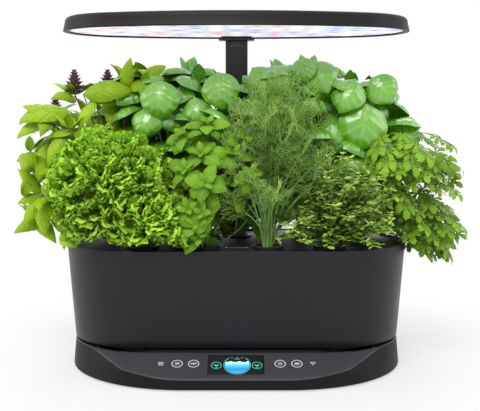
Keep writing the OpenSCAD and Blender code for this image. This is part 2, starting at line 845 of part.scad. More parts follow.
module pump_cover() {
    color("#1b1c1e") translate([0, 0, floor_z]) difference() {
        union() {
            cylinder(r = pump_r, h = pump_h, $fn = loft_fn);
            translate([outlet_x, 0, pump_h - skin]) cylinder(r = outlet_r, h = outlet_h, $fn = round_fn);
        }
        translate([0, 0, -1]) cylinder(r = pump_r - pump_wall, h = pump_h + 1 - pump_wall, $fn = loft_fn);
        translate([outlet_x, 0, 0]) cylinder(r = outlet_bore_r, h = 3 * pump_h, $fn = round_fn);
        for (i = [0:inlet_slots - 1]) rotate((i + 0.5) * 360 / inlet_slots)
            translate([pump_r - 2 * pump_wall, -inlet_w / 2, 4]) cube([4 * pump_wall, inlet_w, inlet_h]);
    }
}

module pump_filter() {
    color("#4a4d52") translate([0, 0, floor_z + 2 + seat_gap]) difference() {
        cylinder(r = pump_r + filter_t, h = filter_h, $fn = loft_fn);
        translate([0, 0, -1]) cylinder(r = pump_r + seat_gap, h = filter_h + 2, $fn = loft_fn);
    }
}

module riser_tube() {
    low = floor_z + pump_h + seat_gap;
    high = deck_z - rib_h - riser_top_gap;
    color("#d9dde0", 0.6) translate([outlet_x, 0, low]) difference() {
        cylinder(r = riser_r, h = high - low, $fn = round_fn);
        translate([0, 0, -1]) cylinder(r = riser_r - riser_wall, h = high, $fn = round_fn);
        for (turn = [0, 90]) rotate(turn) translate([-riser_r - 1, -2, high - low - 8])
            cube([2 * riser_r + 2, 4, 5]);
    }
}

module float_post() {
    color("#1b1c1e") translate([float_x, 0, floor_z + skin])
        cylinder(r = post_r, h = deck_z - post_top_gap - floor_z, $fn = round_fn);
}

module water_float() {
    low = floor_z + 2 + seat_gap;
    color("#d8dde2") translate([float_x, 0, low]) rotate_extrude($fn = round_fn)
        polygon([[post_r + run_gap, 0], [float_r - float_edge, 0], [float_r, float_edge],
                 [float_r, float_h - float_edge], [float_r - float_edge, float_h],
                 [post_r + run_gap, float_h]]);
}

// ---- Grow deck ----

module grow_deck() {
    color("#1e1f22") {
        difference() {
            union() {
                translate([0, 0, deck_z]) linear_extrude(deck_t)
                    stadium(bowl_w(deck_z) - 2 * (bowl_wall + deck_gap), bowl_d(deck_z) - 2 * (bowl_wall + deck_gap));
                at_each(pods) translate([0, 0, deck_top - skin])
                    cylinder(r = collar_r, h = collar_h + skin, $fn = round_fn);
                deck_ribs();
            }
            at_each(pods) translate([0, 0, deck_z - 2 * rib_h])
                cylinder(r = pod_hole_r, h = 4 * rib_h, $fn = round_fn);
            translate([-port_w / 2, -port_front, deck_z - 1]) cube([port_w, port_l, deck_t + 2]);
        }
        for (side = [-1, 1]) hinge_ear(side);
    }
}

// Ribs between the pods and the ends
module deck_ribs() {
    span = (rear_pods - 1) * pod_pitch + 2 * pod_hole_r;
    translate([-span / 2, -rib_w / 2, deck_z - rib_h]) cube([span, rib_w, rib_h + skin]);
    for (i = [0:front_pods - 1]) translate([(i - (front_pods - 1) / 2) * pod_pitch - rib_w / 2, 0, deck_z - rib_h])
        cube([rib_w, row_y + pod_hole_r, rib_h + skin]);
}

module hinge_ear(side) {
    low_x = side > 0 ? ear_in : -ear_in - ear_t;
    translate([low_x, -lid_hinge_y, lid_top]) rotate([0, 90, 0]) difference() {
        union() {
            cylinder(r = barrel_r, h = ear_t, $fn = round_fn);
            translate([0, -barrel_r, 0]) cube([lid_top - deck_top + skin, 2 * barrel_r, ear_t]);
        }
        translate([0, 0, -1]) cylinder(r = pin_r, h = ear_t + 2, $fn = round_fn);
    }
}

module fill_lid_pin() {
    color("silver") translate([-pin_len / 2, -lid_hinge_y, lid_top]) rotate([0, 90, 0])
        cylinder(r = pin_r, h = pin_len, $fn = round_fn);
}

module fill_lid() {
    barrel_w = 2 * (ear_in - ear_gap);
    color("#232427") difference() {
        union() {
            translate([-lid_w / 2, -lid_front, lid_z])
                cube([lid_w, lid_front - lid_hinge_y - lid_shoulder, lid_t]);
            translate([-barrel_w / 2, -lid_hinge_y, lid_top]) rotate([0, 90, 0])
                cylinder(r = barrel_r, h = barrel_w, $fn = round_fn);
            translate([-barrel_w / 2, -lid_hinge_y - lid_shoulder - 1, lid_z])
                cube([barrel_w, lid_shoulder + 1, lid_t]);
            translate([-tab_w / 2, -lid_front - tab_l, lid_z]) cube([tab_w, tab_l + 1, lid_t]);
        }
        translate([-lid_w, -lid_hinge_y, lid_top]) rotate([0, 90, 0])
            cylinder(r = pin_r + run_gap, h = 2 * lid_w, $fn = round_fn);
    }
}

// ---- Pods ----

module grow_basket(i) {
    wall_in = basket_wall;
    color("#2a2b2e") translate([pods[i][0], pods[i][1], basket_z]) difference() {
        rotate_extrude($fn = round_fn) polygon([
            [0, 0], [basket_low_r, 0], [basket_top_r, basket_h], [basket_lip_r, basket_h],
            [basket_lip_r, basket_h + lip_t], [basket_top_r - wall_in, basket_h + lip_t],
            [basket_low_r - wall_in, basket_floor_t], [0, basket_floor_t]]);
        for (turn = [0:basket_slots - 1]) rotate(turn * 360 / basket_slots) {
            translate([basket_low_r - 3 * wall_in, -slot_w / 2, slot_margin])
                cube([basket_top_r, slot_w, basket_h - 2 * slot_margin]);
            translate([basket_low_r / 2, 0, -1]) cylinder(r = floor_hole_r, h = 3, $fn = 24);
        }
    }
}

module grow_sponge(i) {
    low_r = basket_low_r - basket_wall - sponge_gap;
    top_r = basket_top_r - basket_wall - sponge_gap;
    h = sponge_top - basket_z - basket_floor_t;
    color("#4b3626") translate([pods[i][0], pods[i][1], basket_z + basket_floor_t])
        cylinder(r1 = low_r, r2 = top_r, h = h, $fn = round_fn);
}

// ---- Plants ----

function bend(a, b, c, t) = a * (1 - t) * (1 - t) + b * 2 * t * (1 - t) + c * t * t;

// Tapered stem along a curve from a through the pull of b to c
module stem(a, b, c, steps, r) {
    along = (c - a) / norm(c - a);
    side = cross(along, [0.31, 0.95, 0]) / norm(cross(along, [0.31, 0.95, 0]));
    other = cross(along, side);
    n = stem_sides;
    polyhedron(
        [for (k = [0:steps], j = [0:n - 1]) bend(a, b, c, k / steps)
            + r * (1 - 0.5 * k / steps) * (cos(j * 360 / n) * side + sin(j * 360 / n) * other)],
        concat([[for (j = [0:n - 1]) j]], [[for (j = [n - 1:-1:0]) steps * n + j]],
               [for (k = [0:steps - 1], j = [0:n - 1])
                    [k * n + j, (k + 1) * n + j, (k + 1) * n + (j + 1) % n, k * n + (j + 1) % n]]));
}

// Thin body over an outline, thickest at one point along X, that tapers to its edge
module lens(outline, mid) {
    n = len(outline);
    hull() polyhedron(
        concat([for (p = outline) [p[0], p[1], 0]], [[mid, 0, leaf_t / 2], [mid, 0, -leaf_t / 2]]),
        [for (k = [0:n - 1], top = [0, 1])
            top == 0 ? [k, n, (k + 1) % n] : [k, (k + 1) % n, n + 1]]);
}

// Pointed leaf that lies along X, with its foot inside its stem
module blade(l, w) {
    lens([[-leaf_root, 0], [0.3 * l, -w / 2], [0.72 * l, -0.4 * w], [l, 0], [0.72 * l, 0.4 * w],
          [0.3 * l, w / 2]], 0.4 * l);
}

// Small wedge-shaped leaflet
module leaflet(l, w) {
    lens([[-leaf_root, 0], [0.7 * l, -w / 2], [l, 0], [0.7 * l, w / 2]], 0.6 * l);
}

module turned(at, heading, rise, roll) {
    translate(at) rotate([0, -rise, heading]) rotate([roll, 0, 0]) children();
}

// Point on a bent stem's facets, so that a leaf's foot lies inside the stem
function on_stem(a, b, c, steps, t) =
    let (k = min(steps - 1, floor(t * steps)), f = t * steps - k)
    bend(a, b, c, k / steps) * (1 - f) + bend(a, b, c, (k + 1) / steps) * f;

// Room of one plant: clear of its neighbours, the bowl, the deck and the swing of the fill lid
module cell(room, pod) {
    difference() {
        intersection() {
            children();
            translate([0, room[5], 0]) rotate([90, 0, 0]) linear_extrude(room[5] - room[4]) intersection() {
                polygon([[room[0], cell_low], [room[1], cell_low], [room[3], cell_high], [room[2], cell_high]]);
                translate([-plants_reach, 0]) square([2 * plants_reach, 2 * plants_reach]);
            }
        }
        difference() {
            linear_extrude(bowl_rim_z + bowl_room) stadium(bowl_rim_w + 2 * bowl_room, bowl_rim_d + 2 * bowl_room);
            translate([pod[0], pod[1], 0]) cylinder(r = 4 * stem_r, h = hood_z, $fn = 24);
        }
        translate([-lid_room_w / 2, -lid_front - lid_room_w, 0])
            cube([lid_room_w, lid_front + lid_room_w - lid_hinge_y + barrel_r + lid_room, lid_room_z]);
    }
}

// Upright herb: stems that fan out from the pod, with crossed pairs of leaves
module leafy(pod, crown, spread, stems, pairs, leaf_l, leaf_w, first, droop) {
    root = [pod[0], pod[1], stem_z];
    translate(root) cylinder(r = 2 * stem_r, h = 4, $fn = 8);
    for (s = [0:stems - 1]) {
        a = first + s * 360 / stems;
        tip = crown + [spread[0] * cos(a), spread[1] * sin(a), -spread[2] * s / stems];
        low = root + [0.7 * stem_r * cos(a), 0.7 * stem_r * sin(a), 1];
        pull = [(root[0] + tip[0]) / 2, (root[1] + tip[1]) / 2, (2 * root[2] + tip[2]) / 3]
            + [spread[0] * cos(a), spread[1] * sin(a), 0] / 4;
        stem(low, pull, tip, 3, stem_r);
        for (p = [1:pairs]) for (side = [0, 1])
            turned(on_stem(low, pull, tip, 3, (p + 0.15 * side) / (pairs + 0.2)), a + 90 * (p % 2) + 172 * side,
                   50 * p / pairs - droop + 6 * side, 9)
                blade(leaf_l * (1.1 - 0.45 * p / pairs), leaf_w * (1.1 - 0.45 * p / pairs));
    }
}

// Rosette herb: bare stalks, each with a spray of leaflets at its end
module rosette(pod, crown, spread, stalks, leaflets, leaf_l, leaf_w, first, droop) {
    root = [pod[0], pod[1], stem_z];
    translate(root) cylinder(r = 2 * stem_r, h = 4, $fn = 8);
    for (s = [0:stalks - 1]) {
        a = first + s * golden;
        out = sqrt((s + 0.6) / stalks);
        tip = crown + [spread[0] * out * cos(a), spread[1] * out * sin(a), -spread[2] * out * out];
        low = root + [stem_r * cos(a), stem_r * sin(a), 1];
        pull = (root + tip) / 2 + [0, 0, (tip[2] - root[2]) / 4 + 8];
        stem(low, pull, tip, 2, 0.7 * stem_r);
        for (k = [0:leaflets - 1])
            turned(on_stem(low, pull, tip, 2, 0.97 - 0.05 * k), a + (k - (leaflets - 1) / 2) * 230 / leaflets,
                   5 * k - droop * out, 14)
                leaflet(leaf_l, leaf_w);
    }
}

// Feathery herb: stalks that end in a fan of thin rays
module feathery(pod, crown, spread, stalks, rays, ray_l, first) {
    root = [pod[0], pod[1], stem_z];
    translate(root) cylinder(r = 2 * stem_r, h = 4, $fn = 8);
    for (s = [0:stalks - 1]) {
        a = first + s * 360 / stalks;
        tip = crown + [spread[0] * cos(a), spread[1] * sin(a), -spread[2] * (s % 2)];
        low = root + [stem_r * cos(a), stem_r * sin(a), 1];
        pull = (root + tip) / 2 + [0, 0, 12];
        stem(low, pull, tip, 2, 0.6 * stem_r);
        for (k = [0:rays - 1])
            turned(on_stem(low, pull, tip, 2, 0.98 - 0.08 * k), a + (k - (rays - 1) / 2) * 300 / rays,
                   30 - 9 * k, 10) hull() {
                translate([-leaf_root / 2, -0.6, -0.5]) cube([1, 1.2, 1]);
                translate([ray_l, -0.4, -0.3]) cube([0.5, 0.8, 0.6]);
            }
    }
}

module thai_basil() {
    color("#4f8a2c") cell(thai_cell, pods[0])
        leafy(pods[0], [-204, 46, 330], [82, 34, 120], 4, 3, 62, 32, plant_turn[0], 12);
}

module basil_left() {
    color("#3f8f2a") cell(left_cell, pods[1])
        leafy(pods[1], [-72, 50, 346], [42, 26, 70], 3, 4, basil_leaf, basil_leaf_w, plant_turn[1], 10);
}

module basil_centre() {
    color("#3f8f2a") cell(centre_cell, pods[2])
        leafy(pods[2], [62, 44, 346], [36, 26, 80], 3, 4, basil_leaf, basil_leaf_w, plant_turn[2], 10);
}

module basil_right() {
    color("#3f8f2a") cell(right_cell, pods[3])
        leafy(pods[3], [140, 50, 330], [38, 26, 90], 3, 4, basil_leaf, basil_leaf_w, plant_turn[3], 8);
}

module flat_parsley() {
    color("#3b8a2e") cell(flat_cell, pods[4])
        rosette(pods[4], [232, 36, 300], [70, 52, 160], 9, 4, 41, 38, plant_turn[4], 50);
}

module curly_parsley() {
    color("#6bb32e") cell(curly_cell, pods[5])
        rosette(pods[5], [-150, -60, 292], [66, 44, 134], 10, 4, 33, 30, plant_turn[5], 60);
}

module mint() {
    color("#3f9a3a") cell(mint_cell, pods[6])
        leafy(pods[6], [-26, -56, 280], [46, 28, 110], 4, 3, 38, 28, plant_turn[6], 10);
}

module dill() {
    color("#6f9f3a") cell(dill_cell, pods[7])
        feathery(pods[7], [46, -54, 312], [42, 30, 70], 6, 4, 40, plant_turn[7]);
}

module thyme() {
    color("#7aa34a") cell(thyme_cell, pods[8])
        leafy(pods[8], [126, -56, 238], [46, 32, 60], 5, 3, 26, 18, plant_turn[8], 10);
}

// ---- Hood ----

// Points of the hood's outline, pulled in
function hood_ring(inset) = oval_ring(hood_w - 2 * inset, hood_d - 2 * inset, hood_end_r - inset);

// Solid shape of the hood: leaning wall, then a quarter-round edge
module hood_block() {
    lean = hood_straight * tan(hood_lean);
    loft(concat([[hood_z, hood_ring(0)]], [for (k = [0:edge_steps]) let (a = 90 * k / edge_steps)
        [hood_z + hood_straight + hood_edge_r * sin(a), hood_ring(lean + hood_edge_r * (1 - cos(a)))]]));
}

module hood_shell() {
    lean = (hood_roof_z - light_z) * tan(hood_lean);
    color("#32302e") difference() {
        union() {
            translate([0, hood_y, 0]) difference() {
                hood_block();
                loft([[light_z, hood_ring(hood_wall + 1)], [hood_roof_z, hood_ring(hood_wall + lean + 1)]]);
                loft([[hood_z - 1, hood_ring(hood_lip)], [light_z + 1, hood_ring(hood_lip)]]);
            }
            at_hood_bosses() hood_boss();
        }
        translate([-block_w / 2 - fit, notch_y, hood_z - 1])
            cube([block_w + 2 * fit, cavity_y + block_d / 2 + fit - notch_y, block_top + fit - hood_z + 1]);
        at_hood_bosses() translate([0, 0, -1]) cylinder(r = screw_r, h = hood_screw_bite + 1.5, $fn = boss_fn);
    }
}

module at_hood_bosses() {
    for (place = boss_places) translate([place[0], hood_y + place[1], board_under + led_board_t]) children();
}

// Boss with a gusset under the hood's roof
module hood_boss() {
    h = hood_roof_z - board_under - led_board_t + skin;
    cylinder(r = hood_boss_r, h = h, $fn = boss_fn);
    hull() {
        translate([-2 * hood_boss_r, -0.6, h - 1]) cube([4 * hood_boss_r, 1.2, 1]);
        translate([-hood_boss_r, -0.6, 0.5]) cube([2 * hood_boss_r, 1.2, 1]);
    }
}

// Room for the bracket at the back of the light panel and the LED board
module bracket_notch() {
    translate([-notch_w / 2, notch_y, hood_z - 1]) cube([notch_w, hood_d, hood_h]);
}

module light_panel() {
    color("#f3f1f4") difference() {
        translate([0, hood_y, light_z]) linear_extrude(panel_t)
            polygon(hood_ring(hood_lip - panel_over));
        bracket_notch();
    }
}

module led_board() {
    color("#e9ebe8") difference() {
        translate([0, hood_y, board_under]) linear_extrude(led_board_t) polygon(hood_ring(led_inset));
        bracket_notch();
        at_hood_bosses() translate([0, 0, -2 * led_board_t])
            cylinder(r = screw_r + fit, h = 4 * led_board_t, $fn = 24);
    }
}

module led_chips() {
    color("#fff6d8") for (row = [0:led_rows - 1], col = [0:led_cols - 1])
        translate([(col / (led_cols - 1) - 0.5) * led_span_x - chip_w / 2,
                   led_mid_y + (row / (led_rows - 1) - 0.5) * led_span_y - chip_w / 2, board_under - chip_t])
        cube([chip_w, chip_w, chip_t]);
}

module hood_bracket() {
    color("#2b2c30") difference() {
        union() {
            translate([0, mast_mid_y, bracket_z]) linear_extrude(bracket_flange_t)
                rounded(flange_w, flange_d, 3);
            translate([-block_w / 2, cavity_y - block_d / 2, bracket_z + bracket_flange_t - skin])
                cube([block_w, block_d, block_top - bracket_z - bracket_flange_t]);
        }
        translate([0, cavity_y, bracket_z - 1]) linear_extrude(block_top - bracket_z + seat_gap)
            rounded(upper_w + fit, upper_d + fit, 1.6);
    }
}

module hood_screws() {
    color("silver") at_hood_bosses() translate([0, 0, -led_board_t - 1])  {
        cylinder(r = screw_head_r, h = 1, $fn = 24);
        cylinder(r = screw_r - fit / 2, h = led_board_t + 1 + hood_screw_bite, $fn = 24);
    }
}

base_housing();
base_bottom_cover();
rubber_feet();
cover_screws();
display_window();
display_module();
touch_board();
main_board();
dc_jack();
pump_stator();
mast_lower();
mast_screws();
release_button();
button_leaf_spring();
bowl();
impeller_shaft();
pump_cover();
pump_filter();
riser_tube();
float_post();
impeller();
water_float();
grow_deck();
for (i = [0:len(pods) - 1]) {
    grow_basket(i);
    grow_sponge(i);
}
thai_basil();
basil_left();
basil_centre();
basil_right();
flat_parsley();
curly_parsley();
mint();
dill();
thyme();
fill_lid();
fill_lid_pin();
mast_middle();
mast_upper();
hood_shell();
light_panel();
led_board();
led_chips();
hood_bracket();
hood_screws();
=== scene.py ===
"""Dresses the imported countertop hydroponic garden: smooth shells, a lit gauge, nine herbs, finishes and a studio."""

import math
import random

import bpy
from mathutils import Matrix, Vector


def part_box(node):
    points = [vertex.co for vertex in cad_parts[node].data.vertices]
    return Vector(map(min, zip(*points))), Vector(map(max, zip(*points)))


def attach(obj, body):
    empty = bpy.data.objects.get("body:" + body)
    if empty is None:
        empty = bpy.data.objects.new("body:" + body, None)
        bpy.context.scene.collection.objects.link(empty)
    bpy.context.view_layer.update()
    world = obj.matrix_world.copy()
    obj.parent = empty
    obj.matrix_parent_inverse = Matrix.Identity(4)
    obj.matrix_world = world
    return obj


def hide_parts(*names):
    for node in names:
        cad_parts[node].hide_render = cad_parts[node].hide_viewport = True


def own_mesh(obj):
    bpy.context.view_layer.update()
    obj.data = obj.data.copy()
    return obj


bl_info = {
    "name": "Countertop Hydroponic Garden",
    "version": (1, 0, 0),
    "blender": (4, 5, 0),
    "location": "View3D > Sidebar > Garden",
    "description": "Dresses a countertop herb garden with shells, herbs, finishes and a studio",
    "category": "Object",
}

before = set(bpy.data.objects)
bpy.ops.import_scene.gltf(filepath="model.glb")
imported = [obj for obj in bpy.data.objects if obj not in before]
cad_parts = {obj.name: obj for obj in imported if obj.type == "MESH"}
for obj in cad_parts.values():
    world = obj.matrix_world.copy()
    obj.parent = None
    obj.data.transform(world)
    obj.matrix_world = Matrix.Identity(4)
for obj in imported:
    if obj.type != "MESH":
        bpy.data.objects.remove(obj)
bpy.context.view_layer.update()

MM = 0.001  # every length below is in millimetres and turns to metres here
SIDES = 288  # points round a large shell, a multiple of 4

# Sizes of the moulded shells, the same as the solids'
BASE_W, BASE_D, BASE_H, BASE_LOW, BASE_WALL = 408.0, 288.0, 33.5, 1.5, 3.0
TROUGH = 2.2  # depth of the groove round the bowl's foot
BROW_W, BROW_D, SHOULDER_W = 403.2, 204.0, 260.0
PANEL_SLOPE = math.radians(25.4)
PANEL_LOW_Z = BASE_H - (BASE_D - BROW_D) / 2 * math.tan(PANEL_SLOPE)
DISPLAY_W, DISPLAY_L, DISPLAY_LOW = 64.0, 33.5, 8.6
BOWL_LOW, BOWL_RIM = (404.0, 182.0, 35.0), (421.2, 212.0, 152.6)
BOWL_WALL, LEDGE_W, LEDGE_Z, BOWL_FLOOR_Z = 2.4, 2.4, 146.0, 38.0
HOOD_W, HOOD_D, HOOD_END_R, HOOD_Y, HOOD_Z, HOOD_H = 432.0, 213.2, 86.0, 22.9, 410.6, 17.4
HOOD_LEAN, HOOD_EDGE_R, HOOD_LIP, PANEL_RECESS = math.radians(12.5), 6.0, 7.0, 2.0
MAST_Y, MAST_W, MAST_D = 109.5, 30.0, 18.0
PODS = [(x * 75.0, 50.0) for x in (-2, -1, 0, 1, 2)] + [(x * 75.0, -50.0) for x in (-1.5, -0.5, 0.5, 1.5)]
SPONGE_TOP = 150.8
BROW_RUN = (BROW_W - BROW_D) / 2  # half the straight part of the panel's upper edge
FLAT_Y = -12.0  # the base's roof is flat behind this line
PROFILE_Z = 3.0  # height where the base's wall starts, above its round lower edge
FOOT_Z = 33.8  # underside of the bowl's foot
FOOT_OUT, FOOT_IN = 7.0, 13.5  # how far the foot's two faces stand in from the bowl's wall
GOLDEN = 2.39996  # golden angle in radians, which spreads stems and sprays evenly


# ---- Colour and material helpers ----


def rgb(code):
    """sRGB hex to linear RGBA"""
    parts = [int(code[i : i + 2], 16) / 255 for i in (1, 3, 5)]
    return tuple(c / 12.92 if c <= 0.04045 else ((c + 0.055) / 1.055) ** 2.4 for c in parts) + (1.0,)


def add(tree, kind, settings=None, links=None):
    """Adds a node, sets its inputs or properties, and links its inputs"""
    node = tree.nodes.new(kind)
    for key, value in (settings or {}).items():
        if isinstance(key, int) or key in node.inputs:
            node.inputs[key].default_value = value
        else:
            setattr(node, key, value)
    for key, source in (links or {}).items():
        tree.links.new(source, node.inputs[key])
    return node


def new_material(name):
    """Empty node material with a Principled shader joined to its output"""
    material = bpy.data.materials.new(name)
    material.use_nodes = True
    tree = material.node_tree
    tree.nodes.clear()
    shader = add(tree, "ShaderNodeBsdfPrincipled")
    add(tree, "ShaderNodeOutputMaterial", {}, {"Surface": shader.outputs["BSDF"]})
    return material, tree, shader


def finish(tree, shader, values, links):
    """Sets the shader's constant inputs and links the others"""
    for key, value in values.items():
        shader.inputs[key].default_value = value
    for key, source in links.items():
        tree.links.new(source, shader.inputs[key])


def worked(tree, operation, *inputs):
    """Result of a math node over numbers and the outputs of other nodes"""
    node = add(tree, "ShaderNodeMath", {"operation": operation})
    for i, item in enumerate(inputs):
        if isinstance(item, (int, float)):
            node.inputs[i].default_value = item
        else:
            tree.links.new(item, node.inputs[i])
    return node.outputs[0]


def in_object(tree):
    """Object coordinates, in metres from the origin on the table"""
    return add(tree, "ShaderNodeTexCoord").outputs["Object"]


def object_noise(tree, size_mm, detail=2.0, rough=0.5):
    """Noise whose features are size_mm across"""
    values = {"Scale": 1000 / size_mm, "Detail": detail, "Roughness": rough}
    return add(tree, "ShaderNodeTexNoise", values, {"Vector": in_object(tree)}).outputs["Fac"]


def relief(tree, height, strength, depth_mm):
    """Bump of a real depth"""
    values = {"Strength": strength, "Distance": depth_mm * MM}
    return add(tree, "ShaderNodeBump", values, {"Height": height}).outputs["Normal"]


def two_tone(tree, factor, low, high):
    """Mix of two colours, given as sRGB hex, by a factor"""
    mix = add(tree, "ShaderNodeMix", {"data_type": "RGBA"}, {0: factor})
    mix.inputs["A"].default_value = rgb(low)
    mix.inputs["B"].default_value = rgb(high)
    return mix.outputs["Result"]


def spread(tree, value, low, high, from_low=0.3, from_high=0.7):
    """A noise value spread between two numbers"""
    values = {"From Min": from_low, "From Max": from_high, "To Min": low, "To Max": high}
    return add(tree, "ShaderNodeMapRange", values, {"Value": value}).outputs["Result"]


def moulded(name, low, high, roughness, grain_mm, relief_mm, coat=0.0, metallic=0.0, mirror=0.3):
    """Moulded or coated surface: fine grain as bump, slow drift of colour and of roughness.

    Real spark-eroded grain is about 0.1 mm; grain_mm is drawn coarser, so that it shows.
    """
    material, tree, shader = new_material(name)
    grain = object_noise(tree, grain_mm, 3.0, 0.6)
    drift = object_noise(tree, 60.0)
    finish(
        tree,
        shader,
        {"Metallic": metallic, "Specular IOR Level": mirror, "Coat Weight": coat, "Coat Roughness": 0.3},
        {
            "Base Color": two_tone(tree, drift, low, high),
            "Roughness": spread(tree, drift, roughness - 0.04, roughness + 0.04),
            "Normal": relief(tree, grain, 0.6, relief_mm),
        },
    )
    return material


def brushed_metal(name, code, roughness, line_mm):
    """Turned or brushed metal: fine lines along X, stretched noise as bump and roughness.

    The lines are drawn line_mm apart, which is coarser than real ones, so that they show.
    """
    material, tree, shader = new_material(name)
    stretch = {"Scale": (20.0, 1000 / line_mm, 1000 / line_mm)}
    mapped = add(tree, "ShaderNodeMapping", stretch, {"Vector": in_object(tree)}).outputs["Vector"]
    lines = add(tree, "ShaderNodeTexNoise", {"Scale": 1.0, "Detail": 3.0}, {"Vector": mapped}).outputs["Fac"]
    finish(
        tree,
        shader,
        {"Base Color": rgb(code), "Metallic": 1.0},
        {
            "Roughness": spread(tree, lines, roughness - 0.06, roughness + 0.06),
            "Normal": relief(tree, lines, 0.3, 0.02),
        },
    )
    return material


def foam(name, low, high, cell_mm):
    """Open-cell foam: Voronoi cells of the real pore size, with the low parts between them painted dark as shade"""
    material, tree, shader = new_material(name)
    cells = add(tree, "ShaderNodeTexVoronoi", {"Scale": 1000 / cell_mm}, {"Vector": in_object(tree)})
    # Painted shade: the low parts of the relief are darker
    pores = spread(tree, cells.outputs["Distance"], 1.0, 0.0, 0.15, 0.7)
    links = {"Base Color": two_tone(tree, pores, low, high), "Normal": relief(tree, pores, 0.8, 0.4)}
    finish(tree, shader, {"Roughness": 0.95}, links)
    return material


def ink(name, code, glow):
    """Printed or lit mark: flat ink with a glow of its own, real light on a display and a painted glow on printed marks
    """
    material, tree, shader = new_material(name)
    tone = rgb(code)
    mix = add(tree, "ShaderNodeMix", {"data_type": "RGBA"}, {0: object_noise(tree, 0.6)})
    mix.inputs["A"].default_value = tuple(0.86 * c for c in tone[:3]) + (1.0,)
    mix.inputs["B"].default_value = tone
    values = {"Roughness": 0.5, "Emission Color": tone, "Emission Strength": glow}
    finish(tree, shader, values, {"Base Color": mix.outputs["Result"]})
    return material


def gauge_water():
    """Lit picture of water: pale at its surface, deep blue below, by height on the slope"""
    material, tree, shader = new_material("display_water_blue")
    split = add(tree, "ShaderNodeSeparateXYZ", {}, {"Vector": in_object(tree)})
    low_z, high_z = ((PANEL_LOW_Z + v * math.sin(PANEL_SLOPE)) * MM for v in (11.5, 32.0))
    height = spread(tree, split.outputs["Z"], 0.0, 1.0, low_z, high_z)
    ramp = add(tree, "ShaderNodeValToRGB", {}, {"Fac": height})
    ramp.color_ramp.elements[0].color = rgb("#3aa6e4")
    ramp.color_ramp.elements[1].color = rgb("#d6f2ff")
    for share, code in ((0.35, "#1f86d6"), (0.62, "#4db4f0"), (0.85, "#9adcfb")):
        ramp.color_ramp.elements.new(share).color = rgb(code)
    blue = ramp.outputs["Color"]
    finish(tree, shader, {"Emission Strength": 0.6}, {"Base Color": blue, "Emission Color": blue})
    return material


def frosted_diffuser():
    """Frosted polycarbonate over a grid of LEDs: pale glow with a soft white, blue or red spot over each"""
    material, tree, shader = new_material("diffuser_frosted_polycarbonate")
    pitch = (344.0 / 14 * MM, 112.0 / 4 * MM)  # every LED, and the glow between its rows
    shift = {"Location": (0.5, 0.5 - 0.0149 / pitch[1], 0.0), "Scale": (1 / pitch[0], 1 / pitch[1], 0.0)}
    grid = add(tree, "ShaderNodeMapping", shift, {"Vector": in_object(tree)}).outputs["Vector"]
    cell = add(tree, "ShaderNodeVectorMath", {"operation": "FLOOR"}, {0: grid}).outputs["Vector"]
    part = add(tree, "ShaderNodeVectorMath", {"operation": "FRACTION"}, {0: grid}).outputs["Vector"]
    off = add(tree, "ShaderNodeVectorMath", {"operation": "SUBTRACT", 1: (0.5, 0.5, 0.0)}, {0: part})
    far = add(tree, "ShaderNodeVectorMath", {"operation": "LENGTH"}, {0: off.outputs["Vector"]})
    spot = spread(tree, far.outputs["Value"], 1.0, 0.0, 0.08, 0.42)
    pick = add(tree, "ShaderNodeTexWhiteNoise", {"noise_dimensions": "3D"}, {"Vector": cell})
    hue = add(tree, "ShaderNodeValToRGB", {}, {"Fac": pick.outputs["Value"]})
    hue.color_ramp.interpolation = "CONSTANT"
    hue.color_ramp.elements[0].color = rgb("#ffffff")
    hue.color_ramp.elements[1].position = 0.42
    hue.color_ramp.elements[1].color = rgb("#8695ff")
    hue.color_ramp.elements.new(0.72).color = rgb("#ff8d9b")
    mix = add(tree, "ShaderNodeMix", {"data_type": "RGBA"}, {0: spot})
    mix.inputs["A"].default_value = rgb("#cfcbdd")
    tree.links.new(hue.outputs["Color"], mix.inputs["B"])
    glow = mix.outputs["Result"]
    values = {"Emission Strength": 0.85, "Roughness": 0.6}
    finish(tree, shader, values, {"Emission Color": glow, "Base Color": glow})
    return material


def leaf_material(
    name, dark, light, vein, roughness, relief_mm, veins, vein_show=0.5, tip=0.15, mirror=0.12, wax=0.0
):
    """Leaf blade: veins from the blade's own UV map, tone by leaf (with painted shade and light by the leaf's place in
    the herb) and by noise, quilted relief between veins
    """
    material, tree, shader = new_material(name)
    uv = add(tree, "ShaderNodeUVMap", {"uv_map": "UVMap"})
    split = add(tree, "ShaderNodeSeparateXYZ", {}, {"Vector": uv.outputs["UV"]})
    along = split.outputs["X"]
    aside = worked(tree, "ABSOLUTE", worked(tree, "SUBTRACT", split.outputs["Y"], 0.5))
    slant = worked(tree, "MULTIPLY_ADD", aside, -0.62, along)
    beat = worked(tree, "FRACT", worked(tree, "MULTIPLY", slant, float(veins)))
    side = worked(tree, "ABSOLUTE", worked(tree, "SUBTRACT", beat, 0.5))
    side_vein = spread(tree, side, 0.0, 1.0, 0.40, 0.5)
    mid_vein = spread(tree, aside, 1.0, 0.0, 0.0, 0.035)
    shown = worked(tree, "MULTIPLY", worked(tree, "MAXIMUM", side_vein, mid_vein), vein_show)
    # Each leaf's own tone, with painted shade deep in the herb and painted light at its top and outside
    tint = add(tree, "ShaderNodeAttribute", {"attribute_name": "tint"}).outputs["Fac"]
    blend = worked(tree, "MULTIPLY_ADD", object_noise(tree, 9.0, 3.0), 0.45, tint)
    young = worked(tree, "MULTIPLY_ADD", along, tip, blend)
    tone = spread(tree, young, 0.0, 1.0, 0.2 + 0.3 * tip, 1.15 + 0.7 * tip)
    mix = add(tree, "ShaderNodeMix", {"data_type": "RGBA"}, {0: shown})
    tree.links.new(two_tone(tree, tone, dark, light), mix.inputs["A"])
    mix.inputs["B"].default_value = rgb(vein)
    values = {"Roughness": roughness, "Specular IOR Level": mirror, "Coat Weight": wax, "Coat Roughness": 0.22}
    links = {"Base Color": mix.outputs["Result"], "Normal": relief(tree, side, 0.7, relief_mm)}
    finish(tree, shader, values, links)
    return material


